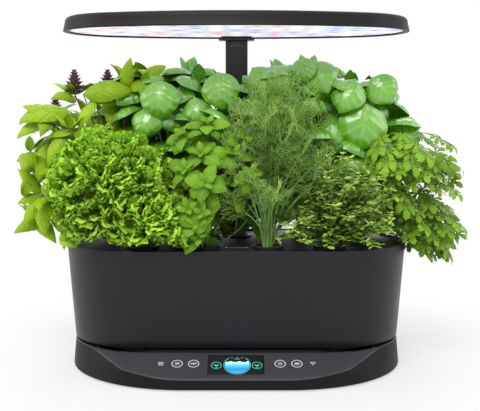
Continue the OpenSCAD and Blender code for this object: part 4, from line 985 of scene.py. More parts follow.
class GARDEN_OT_pump(bpy.types.Operator):
    """Finishes of the pump, riser, float and their posts, and the foam filter ring"""

    bl_idname = "garden.pump"
    bl_label = "Pump and float"

    def execute(self, context):
        # Satin plastic, a shade lighter than the bowl round it
        give(moulded("pump_cover_satin_abs", "#26272a", "#2f3033", 0.45, 0.8, 0.01), "pump_cover")
        # Polypropylene: waxy mid grey
        give(moulded("riser_moulded_polypropylene", "#34353a", "#3d3e43", 0.4, 0.7, 0.01), "riser_tube")
        give(moulded("post_moulded_polypropylene", "#34353a", "#3d3e43", 0.4, 0.7, 0.01), "float_post")
        # Acetal: milky white with a clean gleam
        give(moulded("impeller_glossy_acetal", "#dcdcd6", "#e6e6e0", 0.3, 0.6, 0.005), "impeller")
        # Ground stainless steel: bright, with fine lines
        give(brushed_metal("shaft_ground_stainless", "#cfd2d6", 0.2, 0.12), "impeller_shaft")
        # Closed-cell foam: matte orange with a skin of tiny dents
        give(moulded("float_closed_cell_foam", "#d8752c", "#e6863c", 0.8, 1.2, 0.06), "water_float")
        lo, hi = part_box("pump_filter")
        cx, cy = (lo.x + hi.x) / 2 / MM, (lo.y + hi.y) / 2 / MM
        outer, z0, z1 = (hi.x - lo.x) / 2 / MM, lo.z / MM, hi.z / MM
        inner = outer - 5.0
        chance = random.Random(3)
        rows = [(outer - 0.5, z0), (outer, z0 + 0.8), (outer, (z0 + z1) / 2), (outer, z1 - 0.8), (outer - 0.5, z1)]
        rows += [(inner + 0.5, z1), (inner, z1 - 0.8), (inner, (z0 + z1) / 2), (inner, z0 + 0.8), (inner + 0.5, z0)]
        rings = []
        for r, z in rows:
            ring = []
            for k in range(96):
                a = k / 48 * math.pi
                rr = r - 0.3 * chance.random() if r > (outer + inner) / 2 else r + 0.3 * chance.random()
                ring.append((cx + rr * math.cos(a), cy + rr * math.sin(a), z))
            rings.append(ring)
        mesher = Mesher()
        mesher.loft(rings, closed=True)
        # Reticulated foam: black, open and without any gleam
        sieve = foam("filter_reticulated_foam", "#0e0e0f", "#2f3033", 1.3)
        place(mesher.make("filter_ring", [sieve], 60.0), "bowl", ["pump_filter"])
        return {"FINISHED"}


# ---- Mast and hood ----


class GARDEN_OT_mast(bpy.types.Operator):
    """Finishes of the telescoping mast, its release button and its spring"""

    bl_idname = "garden.mast"
    bl_label = "Mast"

    def execute(self, context):
        # Powder coat over aluminium: an even dark grey with a fine orange-peel sheen
        tube = moulded("mast_powder_coated_aluminium", "#2a2b2e", "#323336", 0.4, 0.7, 0.015)
        give(tube, "mast_lower", "mast_middle", "mast_upper")
        # The same coat over steel
        give(moulded("bracket_powder_coated_steel", "#2b2c2e", "#333436", 0.42, 0.7, 0.015), "hood_bracket")
        # Satin plastic, lighter than the mast, so that the button shows on it
        give(moulded("button_satin_abs", "#3a3b3e", "#434447", 0.4, 0.6, 0.01), "release_button")
        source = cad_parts["button_leaf_spring"]
        spring = bpy.data.objects.new("button_spring", source.data.copy())
        context.scene.collection.objects.link(spring)
        spring.data.materials.clear()
        # Tempered steel: a thin bright strip
        spring.data.materials.append(brushed_metal("spring_tempered_steel", "#b4b7bb", 0.3, 0.15))
        place(spring, "base", ["button_leaf_spring"])
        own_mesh(spring)
        return {"FINISHED"}


class GARDEN_OT_hood(bpy.types.Operator):
    """Lamp hood shell, diffuser, LED board and screws"""

    bl_idname = "garden.hood"
    bl_label = "Lamp hood"

    def execute(self, context):
        colours = context.scene.garden_colours
        straight = HOOD_H - HOOD_EDGE_R
        lean = straight * math.tan(HOOD_LEAN)
        top = HOOD_Z + HOOD_H
        inset = lean + HOOD_EDGE_R
        rows = [(HOOD_LIP + 6, HOOD_Z + PANEL_RECESS + 2.2), (HOOD_LIP, HOOD_Z + PANEL_RECESS + 2.0)]
        rows += [(HOOD_LIP, HOOD_Z + 0.5), (HOOD_LIP - 0.5, HOOD_Z), (1.1, HOOD_Z), (0.35, HOOD_Z + 0.25)]
        rows += [(0.02, HOOD_Z + 1.0)]
        rows += [(lean * t, HOOD_Z + straight * t) for t in (0.25, 0.5, 0.75, 0.97)]
        for a in (math.radians(t) for t in (12, 26, 40, 54, 68, 80)):
            rows.append((lean + HOOD_EDGE_R * (1 - math.cos(a)), HOOD_Z + straight + HOOD_EDGE_R * math.sin(a)))
        rows += [(inset + 1.5, top - 0.02), (inset + 12, top), (55, top)]
        mesher = Mesher()
        mesher.loft([oval(inset, z) for inset, z in rows])
        # Textured plastic: warm near black, a little smoother than the base
        black = moulded("hood_textured_abs", colours.hood, "#171615", 0.44, 0.9, 0.01, mirror=0.22)
        shell = mesher.make("hood_shell_smooth", [black], 32.0)
        notch = Mesher()
        notch.loft([round_bar(36.4, 20.8, 1.0, z, 114.4) for z in (HOOD_Z - 2, HOOD_Z + 6.5)])
        cut(shell, notch.make("notch_cutter", [], 40.0))
        place(shell, "hood", ["hood_shell"])
        give(frosted_diffuser(), "light_panel")
        # White solder mask: bright and even, to throw light down
        give(moulded("led_board_white_solder_mask", "#e4e6e2", "#eef0ec", 0.4, 0.6, 0.01), "led_board")
        # Phosphor: warm yellow dots with a glow of their own
        give(ink("led_phosphor_warm", "#fff2c4", 0.6), "led_chips")
        give(brushed_metal("hood_screw_zinc_plated_steel", "#b9bcc0", 0.35, 0.2), "hood_screws")
        return {"FINISHED"}


# ---- Herbs ----


def skewed(peak, point=0.8):
    """Leaf outline that is widest at peak, with a round foot and a tip that is drawn out by point"""
    foot = point * peak / (1 - peak)
    most = peak**foot * (1 - peak) ** point
    return lambda u: max(0.0, u) ** foot * max(0.0, 1 - u) ** point / most


def toothed(outline, teeth, depth):
    """The same outline with teeth along its edge"""
    return lambda u: outline(u) * (1 - depth * ((u * teeth) % 1.0))


def lobed(u):
    """Outline of one lobe of a parsley leaflet: a wedge that widens to a toothed end"""
    table = [(0, 0.06), (0.3, 0.34), (0.56, 0.84), (0.66, 1.0), (0.7, 0.7), (0.82, 0.78), (0.86, 0.4), (1.0, 0.0)]
    for (u0, h0), (u1, h1) in zip(table, table[1:]):
        if u <= u1:
            return h0 + (h1 - h0) * (u - u0) / (u1 - u0)
    return 0.0


def blade(
    length, width, outline, cells=(12, 3), arch=0.5, rise=0.25, cup=0.2,
    quilt=0.0, ruffle=0.0, waves=4, phase=0.0, veins=6,
):
    """Leaf on a grid along its midrib: it rises at its foot, arches over, and cups across"""
    nu, nv = cells
    points, faces, uvs = [], [], []
    x = z = 0.0
    for i in range(nu + 1):
        u = i / nu
        heading = rise - arch * u * u * 1.6
        if i:
            x += length / nu * math.cos(heading)
            z += length / nu * math.sin(heading)
        half = width / 2 * outline(u)
        for j in range(-nv, nv + 1):
            v = j / nv
            lift = -cup * half * v * v
            bulge = math.sin(math.pi * veins * (u - 0.26 * abs(v) ** 1.5)) ** 2
            bulge *= 0.55 + 0.45 * math.sin(7.5 * abs(v) + 4 * u)
            lift += quilt * bulge * min(1.0, 4 * abs(v)) * (1 - v**4) * (4 * u * (1 - u))
            lift += ruffle * abs(v) ** 1.5 * math.sin(2 * math.pi * waves * u + phase + (0.9 if v < 0 else 0.0))
            points.append((x - lift * math.sin(heading), half * v, z + lift * math.cos(heading)))
            uvs.append((u, 0.5 + 0.5 * v))
    row = 2 * nv + 1
    for i in range(nu):
        for j in range(2 * nv):
            a = i * row + j
            faces.append([a, a + row, a + row + 1, a + 1])
    return points, faces, uvs


def facing(at, along, roll=0.0, size=1.0, up=Vector((0, 0, 1))):
    """Matrix that puts a leaf's foot at a point, its length along a direction and its face upward"""
    x = Vector(along).normalized()
    y = Vector(up).cross(x)
    y = y.normalized() if y.length > 1e-4 else Vector((0, 1, 0))
    z = x.cross(y)
    turn = Matrix((x, y, z)).transposed().to_4x4() @ Matrix.Rotation(roll, 4, "X")
    return Matrix.Translation(Vector(at)) @ turn @ Matrix.Scale(size, 4)


LEAF_SOCKETS = ("Young leaf", "Full leaf", "Old leaf")


def scatter_tree(name):
    """Geometry Nodes tree: one of three leaf forms on each point, turned and sized by the point's own values"""
    tree = bpy.data.node_groups.new(name, "GeometryNodeTree")
    tree.interface.new_socket("Points", in_out="INPUT", socket_type="NodeSocketGeometry")
    for label in LEAF_SOCKETS:
        tree.interface.new_socket(label, in_out="INPUT", socket_type="NodeSocketObject")
    tree.interface.new_socket("Leaf finish", in_out="INPUT", socket_type="NodeSocketMaterial")
    tree.interface.new_socket("Herb", in_out="OUTPUT", socket_type="NodeSocketGeometry")
    source = add(tree, "NodeGroupInput")
    forms = add(tree, "GeometryNodeJoinGeometry")
    for label in reversed(LEAF_SOCKETS):
        info = add(tree, "GeometryNodeObjectInfo", {"As Instance": True}, {"Object": source.outputs[label]})
        tree.links.new(info.outputs["Geometry"], forms.inputs[0])
    read = {}
    for label, kind in (("aim", "FLOAT_VECTOR"), ("size", "FLOAT"), ("form", "INT")):
        node = add(tree, "GeometryNodeInputNamedAttribute", {"data_type": kind, "Name": label})
        read[label] = node.outputs["Attribute"]
    turn = add(tree, "FunctionNodeEulerToRotation", {}, {0: read["aim"]})
    on_points = add(
        tree,
        "GeometryNodeInstanceOnPoints",
        {"Pick Instance": True},
        {
            "Points": source.outputs["Points"],
            "Instance": forms.outputs[0],
            "Instance Index": read["form"],
            "Rotation": turn.outputs[0],
            "Scale": read["size"],
        },
    )
    real = add(tree, "GeometryNodeRealizeInstances", {}, {0: on_points.outputs[0]})
    dressed = add(
        tree, "GeometryNodeSetMaterial", {}, {"Geometry": real.outputs[0], "Material": source.outputs["Leaf finish"]}
    )
    add(tree, "NodeGroupOutput", {}, {0: dressed.outputs[0]})
    return tree


class Herb:
    """One herb while it grows: its stems, and the place, aim, size, tone with painted shade, and form of each leaf"""

    def __init__(self, name, pod, seed):
        self.name, self.pod = name, PODS[pod]
        self.chance = random.Random(seed)
        self.stems = Mesher()
        self.leaves = []

    def clear(self, p, margin=2.0):
        """Whether a point keeps out of the bowl, the deck, the mast, the lid's swing and the hood"""
        t = clamp((p[2] - BOWL_LOW[2]) / (BOWL_RIM[2] - BOWL_LOW[2]))
        w = BOWL_LOW[0] + (BOWL_RIM[0] - BOWL_LOW[0]) * t
        d = BOWL_LOW[1] + (BOWL_RIM[1] - BOWL_LOW[1]) * t
        run = (w - d) / 2
        off = math.hypot(max(0.0, abs(p[0]) - run), p[1]) - d / 2
        if p[2] < 154.0 + margin and off < margin:
            return p[2] > 151.5 and math.hypot(p[0] - self.pod[0], p[1] - self.pod[1]) < 17
        near_mast = abs(p[0]) < 22 + margin and p[1] > 103 - margin
        if near_mast or not self.lid_free(p):
            return False
        return abs(p[0]) < 290 and p[2] < 386 and -141 < p[1] < 141 and p[2] > 118

    def lid_free(self, p):
        """Whether a point keeps out of the fill lid's swing"""
        return not (abs(p[0]) < 29 and p[1] < -58 and p[2] < 190)

    def leaf(self, at, along, size, form, roll=None, tint=None, reach=30.0, up=(0, 0, 1)):
        """Keeps a leaf, unless its blade would meet what it has to keep out of"""
        along = Vector(along).normalized()
        for share in (0.45, 1.0):
            if not self.clear(Vector(at) + along * reach * size * share):
                return
        roll = self.chance.uniform(-0.45, 0.45) if roll is None else roll
        tint = self.chance.random() if tint is None else tint
        turn = facing(at, along, roll, up=Vector(up)).to_euler()
        self.leaves.append((tuple(at), tuple(turn), size, form, tint))

    def stem(self, a, b, c, r0, r1, steps=10, sides=6):
        """Tapered stalk along a quadratic curve"""
        path = [curve_at(a, b, c, i / steps) for i in range(steps + 1)]
        radii = [r0 + (r1 - r0) * i / steps for i in range(steps + 1)]
        self.stems.tube(path, radii, sides)

    def root(self, spread_mm=5.0):
        """Point in the sponge where a stem starts"""
        x, y = (at + self.chance.uniform(-1, 1) * spread_mm * 0.6 for at in self.pod)
        return Vector((x, y, SPONGE_TOP - 3.0))

    def shade_inner(self):
        """Painted shade and light: leaves deep inside a herb and low in it are darker than those at its outside and top
        """
        count = max(1, len(self.leaves))
        middle = [sum(leaf[0][i] for leaf in self.leaves) / count for i in range(3)]
        reach = [max(5.0, max(abs(leaf[0][i] - middle[i]) for leaf in self.leaves)) for i in range(3)]
        for n, (at, turn, size, form, tint) in enumerate(self.leaves):
            off = [(at[i] - middle[i]) / reach[i] for i in range(3)]
            outer = min(1.0, math.sqrt(sum(c * c for c in off)) + 0.25 * off[2])
            self.leaves[n] = (at, turn, size, form, max(0.0, 0.45 * tint + 0.62 * outer - 0.05))

    def grow(self, forms, leaf_finish, stem_finish, slot_name):
        """Leaves by Geometry Nodes in one plain mesh, and the stems: both stand for the herb's node"""
        self.shade_inner()
        mesh = bpy.data.meshes.new(self.name + "_points")
        mesh.from_pydata([tuple(c * MM for c in leaf[0]) for leaf in self.leaves], [], [])
        kinds = (("aim", "FLOAT_VECTOR"), ("size", "FLOAT"), ("form", "INT"), ("tint", "FLOAT"))
        for index, (label, kind) in enumerate(kinds, 1):
            layer = mesh.attributes.new(label, kind, "POINT")
            for item, leaf in zip(layer.data, self.leaves):
                setattr(item, "vector" if label == "aim" else "value", leaf[index])
        points = bpy.data.objects.new(self.name + "_points", mesh)
        bpy.context.scene.collection.objects.link(points)
        sources = []
        for label, build in zip(("young", "full", "old"), forms):
            form = Mesher()
            for part in build:
                form.put(*part)
            sources.append(form.make(f"{self.name}_{label}", [leaf_finish], 180.0))
        tree = scatter_tree(self.name + "_growth")
        modifier = points.modifiers.new("growth", "NODES")
        modifier.node_group = tree
        named = {item.name: item.identifier for item in tree.interface.items_tree if item.in_out == "INPUT"}
        for label, source in zip(LEAF_SOCKETS, sources):
            modifier[named[label]] = source
        modifier[named["Leaf finish"]] = leaf_finish
        depsgraph = bpy.context.evaluated_depsgraph_get()
        depsgraph.update()
        result = bpy.data.meshes.new_from_object(
            points.evaluated_get(depsgraph), preserve_all_data_layers=True, depsgraph=depsgraph
        )
        points.modifiers.clear()
        bpy.data.objects.remove(points)
        for source in sources:
            bpy.data.objects.remove(source)
        leaves = bpy.data.objects.new(self.name + "_leaves", result)
        bpy.context.scene.collection.objects.link(leaves)
        soften(leaves, 180.0)
        place(leaves, "deck", [self.name])
        stems = self.stems.make(self.name + "_stems", [stem_finish], 60.0)
        place(stems, "deck", [self.name])


def around(angle, rise):
    """Direction at an angle round the upright axis, raised by another"""
    return Vector((math.cos(angle) * math.cos(rise), math.sin(angle) * math.cos(rise), math.sin(rise)))


def basil_herb(name, pod, seed, crown, tips, size_mm, big=()):
    """Genovese basil: upright stems with crossed pairs of large cupped leaves and a whorl at each top"""
    herb = Herb(name, pod, seed)
    chance = herb.chance
    middle = Vector((crown[0], crown[1], 0))
    for dx, dy, dz in tips:
        tip = Vector((crown[0] + dx, crown[1] + dy, crown[2] + dz))
        low = herb.root()
        pull = Vector(((low.x + tip.x) / 2, (low.y + tip.y) / 2, low.z + 0.55 * (tip.z - low.z)))
        pull += Vector((tip.x - low.x, tip.y - low.y, 0)) * 0.18
        herb.stem(low, pull, tip, 2.4, 1.3, 12, 8)
        spin = chance.uniform(0, math.pi)
        pairs = max(3, int((tip.z - low.z) / 34))
        for p in range(pairs):
            t = 0.3 + 0.66 * p / (pairs - 1)
            at = curve_at(low, pull, tip, t)
            grown = 0.66 + 0.42 * math.sin(math.pi * min(1.0, 0.25 + 0.6 * t))
            for side in (0, math.pi):
                angle = spin + p * math.pi / 2 + side + chance.uniform(-0.4, 0.4)
                along = around(angle, 0.25)
                herb.stem(at, at + along * 6, at + along * 11 - Vector((0, 0, 1)), 0.9, 0.7, 3, 5)
                droop = chance.uniform(0.25, 1.05)
                grown_to = grown * chance.uniform(0.85, 1.05)
                form = chance.choice((1, 2))
                herb.leaf(
                    at + along * 10.5, around(angle, -droop), grown_to, form, reach=size_mm, up=(0, -0.9, 0.8)
                )
        lean = Vector((tip.x - middle.x, tip.y - middle.y, 0)) * 0.012 + Vector((0, 0, 1))
        for k in range(6):
            inner = k > 3
            along = around(spin + k * math.pi / 2 + 0.5 * inner, 0.75 if inner else -0.1)
            size = (0.55 if inner else 0.95) * chance.uniform(0.88, 1.08)
            tint = 0.6 + 0.4 * chance.random()
            herb.leaf(tip, along, size, 0 if inner else 1, tint=tint, reach=size_mm, up=lean)
    for foot, along, size in big:
        foot, low = Vector(foot), herb.root()
        pull = low.lerp(foot, 0.5) + Vector((0, 6, 26))
        herb.stem(low, pull, foot, 2.0, 1.0, 12, 6)
        # Painted top light: the higher a large leaf's foot, the lighter its tone
        light = 0.25 + 0.6 * (foot.z - 200) / 170
        form, roll = chance.choice((1, 2)), chance.uniform(-0.2, 0.2)
        herb.leaf(foot, along, size, form, roll=roll, tint=light, reach=size_mm, up=(-0.15, -1.0, 0.5))
    full = {"outline": skewed(0.4, 0.7), "cells": (20, 8), "quilt": 3.2, "veins": 5}
    width = 0.86 * size_mm
    forms = (
        [blade(size_mm * 0.85, width * 0.66, arch=0.5, rise=0.6, cup=0.6, **full)],
        [blade(size_mm, width, arch=0.85, rise=0.5, cup=0.5, **full)],
        [blade(size_mm, width * 1.05, arch=1.0, rise=0.35, cup=0.32, ruffle=0.9, waves=3, **full)],
    )
    return herb, forms


class GARDEN_OT_basil(bpy.types.Operator):
    """Three Genovese basils behind the lower herbs"""

    bl_idname = "garden.basil"
    bl_label = "Genovese basil"

    def execute(self, context):
        size = context.scene.garden_sizes.basil_leaf / MM
        seed = context.scene.garden_sizes.seed
        # Waxed leaf: deep green with bright window-like gleams on each bulge between its veins
        leaf = leaf_material("basil_leaf_glossy", "#124a02", "#74bd28", "#b4dc78", 0.24, 1.0, 5, 0.3, 0.1, 0.8, 0.9)
        stalk = stem_material("basil_stem", "#86b352", "#a5cc70")
        # The stems' tips, from each herb's crown
        left = [(-44, 0, 34), (-20, -14, 16), (24, -8, 30), (60, 0, 20), (10, 26, 44), (-66, 6, -8)]
        left += [(38, -26, -12), (-34, 34, 16), (-2, -22, -50)]
        middle = [(-44, 0, 22), (-12, -12, 38), (26, 2, 46), (52, -6, 28), (6, 28, 34), (-24, -26, -6)]
        middle += [(34, 34, 20), (36, -24, -34), (-40, 26, 0)]
        right = [(-30, 0, 34), (2, -14, 44), (34, 2, 34), (48, -10, -4), (8, 28, 40), (18, -28, -30)]
        right += [(-22, 34, 10), (44, 30, 12)]
        # The large leaves that show their faces: foot, way and size
        big_left = [((-92, -6, 350), (-0.1, -0.2, -1), 0.95), ((-22, -8, 360), (0.1, -0.2, -1), 0.92)]
        big_left += [((-104, -2, 318), (-0.35, -0.2, -1), 0.8), ((-52, -4, 330), (0.2, -0.3, -1), 0.7)]
        big_middle = [((64, 0, 366), (-0.7, -0.2, -0.6), 0.75), ((80, -4, 378), (0.15, -0.25, -1), 0.62)]
        big_middle += [((96, 2, 374), (0.4, -0.2, -0.9), 0.85), ((20, 0, 366), (0.5, -0.25, -0.7), 0.7)]
        big_middle += [((70, 26, 272), (0.1, -0.4, -1), 0.85), ((98, 28, 252), (0.4, -0.4, -1), 0.8)]
        big_middle += [((46, 26, 250), (-0.3, -0.4, -1), 0.8), ((112, 30, 224), (0.3, -0.5, -1), 0.75)]
        big_middle += [((84, 24, 214), (0, -0.5, -1), 0.8), ((60, 26, 206), (-0.2, -0.4, -1), 0.7)]
        big_right = [((146, -6, 352), (-0.45, -0.2, -1), 0.9), ((160, -8, 322), (-0.15, -0.15, -1), 1.18)]
        big_right += [((168, 0, 354), (0.7, -0.2, -0.8), 0.8), ((124, 4, 306), (-0.1, -0.3, -1), 0.8)]
        for name, pod, number, crown, tips, big in (
            ("basil_left", 1, seed, (-72, 44, 318), left, big_left),
            ("basil_centre", 2, seed + 1, (66, 40, 318), middle, big_middle),
            ("basil_right", 3, seed + 2, (140, 44, 300), right, big_right),
        ):
            herb, forms = basil_herb(name, pod, number, crown, tips, size, big)
            herb.grow(forms, leaf, stalk, "basil_leaves")
        return {"FINISHED"}


class GARDEN_OT_thai_basil(bpy.types.Operator):
    """Thai basil with narrow leaves, purple stems and flower heads"""

    bl_idname = "garden.thai_basil"
    bl_label = "Thai basil"

    def execute(self, context):
        herb = Herb("thai_basil", 0, context.scene.garden_sizes.seed + 3)
        chance = herb.chance
        heads = Mesher()
        tips = [(-262, 20, 262), (-244, 34, 300), (-236, 60, 308), (-209, 50, 334), (-166, 50, 334), (-140, 30, 352)]
        tips += [(-266, 6, 206), (-236, 8, 240), (-262, 60, 232), (-206, 4, 290), (-176, 66, 312), (-232, 84, 276)]
        tips += [(-262, 30, 176), (-150, 84, 330), (-196, 90, 300), (-120, 40, 366)]
        flowering = (2, 3, 4, 14)
        for s, tip in enumerate(tips):
            tip = Vector(tip)
            low = herb.root()
            pull = low.lerp(tip, 0.5) + Vector((0, 0, 28))
            herb.stem(low, pull, tip, 1.9, 0.9, 12, 7)
            spin = chance.uniform(0, math.pi)
            for p in range(5):
                t = 0.36 + 0.6 * p / 4
                at = curve_at(low, pull, tip, t)
                for side in (0, math.pi):
                    angle = spin + p * math.pi / 2 + side + chance.uniform(-0.4, 0.4)
                    droop = chance.uniform(-0.15, 0.75)
                    size, form = chance.uniform(0.7, 1.0), chance.choice((1, 2))
                    herb.leaf(at, around(angle, -droop), size, form, reach=56, up=(0, -0.8, 0.8))
            if s in flowering:
                self.head(heads, tip, chance, 1.0 if s in (3, 4) else 0.75)
            for k in range(4):
                upward = 0.35 if s in flowering else 0.55
                herb.leaf(tip, around(spin + k * 1.57, upward), 0.7, 0, tint=0.9, reach=56)
        # Long leaves that give the herb its outline: foot, way and size
        for foot, way, size in (
            ((-141, 20, 338), (0.2, 0, 1), 0.8),
            ((-122, 20, 346), (0.75, 0, 0.62), 0.78),
            ((-192, 16, 334), (0.95, -0.2, 0.12), 1.2),
            ((-208, 14, 312), (-0.8, -0.2, -0.05), 1.25),
            ((-236, 16, 304), (-0.8, -0.1, -0.5), 0.9),
            ((-238, 14, 272), (-0.2, -0.3, -1), 0.95),
            ((-246, 10, 209), (-0.65, -0.1, 0.75), 0.8),
            ((-246, 10, 207), (-0.9, -0.1, -0.3), 0.6),
            ((-245, 8, 205), (-0.5, -0.2, -0.8), 0.8),
            ((-243, 6, 204), (0.05, -0.3, -1), 0.88),
            ((-226, 14, 300), (-0.7, -0.2, 0.35), 0.85),
            ((-176, 14, 326), (-0.5, -0.3, -0.7), 0.8),
            ((-232, 12, 250), (-0.9, -0.2, 0.1), 0.85),
            ((-216, 10, 284), (-0.4, -0.3, -0.9), 0.9),
        ):
            low, foot = herb.root(), Vector(foot)
            herb.stem(low, low.lerp(foot, 0.5) + Vector((0, 0, 24)), foot, 1.8, 0.9, 12, 6)
            form, roll, tint = chance.choice((1, 2)), chance.uniform(-0.3, 0.3), chance.uniform(0.3, 0.95)
            herb.leaf(foot, way, size, form, roll=roll, tint=tint, reach=52, up=(-0.1, -1, 0.45))
        shape = {"outline": toothed(skewed(0.38, 1.05), 8, 0.08), "cells": (18, 4), "veins": 7, "quilt": 1.5}
        forms = (
            [blade(46, 17, arch=0.5, rise=0.4, cup=0.35, **shape)],
            [blade(58, 23, arch=0.8, rise=0.4, cup=0.45, **shape)],
            [blade(62, 25, arch=1.05, rise=0.3, cup=0.4, **shape)],
        )
        # Satin leaf: yellow green with pale veins and a soft gleam
        leaf = leaf_material("thai_basil_leaf_satin", "#285604", "#9fc818", "#bcd850", 0.34, 1.0, 7, 0.4, 0.2, 0.25)
        # Purple that fades to green
        stalk = stem_material("thai_basil_stem_purple", "#7a4a55", "#a39a54")
        herb.grow(forms, leaf, stalk, "thai_leaves")
        # Bracts: dusty purple with pale edges
        bloom = stem_material("thai_basil_bract_purple", "#80596b", "#c6a9b3")
        place(heads.make("thai_basil_flower_heads", [bloom], 60.0), "deck", ["thai_basil"])
        return {"FINISHED"}

    def head(self, mesher, tip, chance, scale):
        """Flower head: close whorls of pointed cupped bracts, smaller to the top"""
        for ring in range(7):
            at = tip + Vector((0, 0, 2 + ring * 4.2 * scale))
            for k in range(8):
                angle = k * math.pi / 4 + ring * 0.4 + chance.uniform(-0.15, 0.15)
                size = (19.0 - 2.1 * ring) * scale
                petal = blade(size, size * 0.62, skewed(0.4), cells=(5, 2), arch=0.5, rise=0.5, cup=0.4)
                mesher.put(*petal, facing(at, around(angle, 0.1 + 0.12 * ring)))
        mesher.tube([tip, tip + Vector((0.5, 0, 15 * scale)), tip + Vector((0, 0, 30 * scale))], [1.4, 1.2, 0.7], 6)


class GARDEN_OT_mint(bpy.types.Operator):
    """Mint with toothed, quilted leaves"""

    bl_idname = "garden.mint"
    bl_label = "Mint"

    def execute(self, context):
        size = context.scene.garden_sizes.mint_leaf / MM
        herb = Herb("mint", 6, context.scene.garden_sizes.seed + 4)
        chance = herb.chance
        tips = [(-62, -66, 282), (-34, -58, 296), (-6, -74, 262), (16, -80, 238), (30, -92, 208), (-8, -100, 214)]
        tips += [(-58, -88, 244), (-34, -104, 230), (-54, -100, 200), (-26, -104, 196), (30, -96, 188), (-70, -60, 222)]
        tips += [(-40, -80, 262), (4, -56, 276), (-66, -90, 186), (-44, -104, 184), (8, -92, 206), (-14, -60, 240)]
        tips += [(-30, -16, 262), (10, -20, 236), (-50, -20, 230), (-8, -40, 206), (14, -46, 184), (-20, -50, 176)]
        tips += [(-34, -96, 172), (-38, -104, 196), (-34, -78, 214), (-42, -100, 166), (-34, -66, 190)]
        for tip in tips:
            tip = Vector(tip)
            low = herb.root(7)
            outward = Vector((0.4 * (tip.x + 30) / 50, (tip.y + 46) / 60, 0.55))
            pull = tip - outward.normalized() * 0.45 * (tip - low).length
            if not all(herb.lid_free(curve_at(low, pull, tip, t / 10)) for t in range(1, 11)):
                continue
            herb.stem(low, pull, tip, 1.5, 0.9, 10, 6)
            spin = chance.uniform(0, math.pi)
            pairs = max(3, int((tip - low).length / 16))
            for p in range(pairs):
                t = 0.32 + 0.66 * p / max(1, pairs - 1)
                at = curve_at(low, pull, tip, t)
                above, under = (curve_at(low, pull, tip, share) for share in (min(1.0, t + 0.05), t - 0.05))
                axis, grown = (above - under).normalized(), chance.uniform(0.85, 1.1)
                self.whorl(herb, at, axis, spin + p * math.pi / 2, 2, grown, (1, 2), size, -0.25)
            top = (tip - pull).normalized()
            self.whorl(herb, tip, top, spin + 0.8, 4, chance.uniform(0.85, 1.05), (1,), size, 0.0)
            self.whorl(herb, tip + top * 3, top, spin, 4, 0.6, (0,), size, 0.45)
        shape = {"outline": toothed(skewed(0.42), 8, 0.24), "cells": (32, 3), "veins": 7, "quilt": 1.5}
        forms = (
            [blade(size * 0.85, size * 0.5, arch=0.5, rise=0.4, cup=0.3, **shape)],
            [blade(size, size * 0.66, arch=0.7, rise=0.3, cup=0.2, **shape)],
            [blade(size, size * 0.7, arch=0.9, rise=0.2, cup=0.1, ruffle=0.6, **shape)],
        )
        # Downy leaf: no gleam, darker deep inside the herb by painted shade, and lighter to its tip
        leaf = leaf_material("mint_leaf_matte", "#082601", "#82b82c", "#a8d670", 0.4, 1.4, 7, 0.4, 0.25)
        herb.grow(forms, leaf, stem_material("mint_stem", "#74a94e", "#98c46a"), "mint_leaves")
        return {"FINISHED"}

    def whorl(self, herb, at, axis, spin, count, size, forms, reach, lift):
        """Leaves round a stem, their faces to its tip"""
        side = axis.cross(Vector((0.2, 0.1, 1.0))).normalized()
        other = axis.cross(side)
        for k in range(count):
            angle = spin + k * 2 * math.pi / count
            along = math.cos(angle) * side + math.sin(angle) * other + axis * lift
            tint = 0.95 if forms == (0,) else None
            grown, form = size * herb.chance.uniform(0.9, 1.1), herb.chance.choice(forms)
            herb.leaf(at, along, grown, form, tint=tint, reach=reach, up=axis)


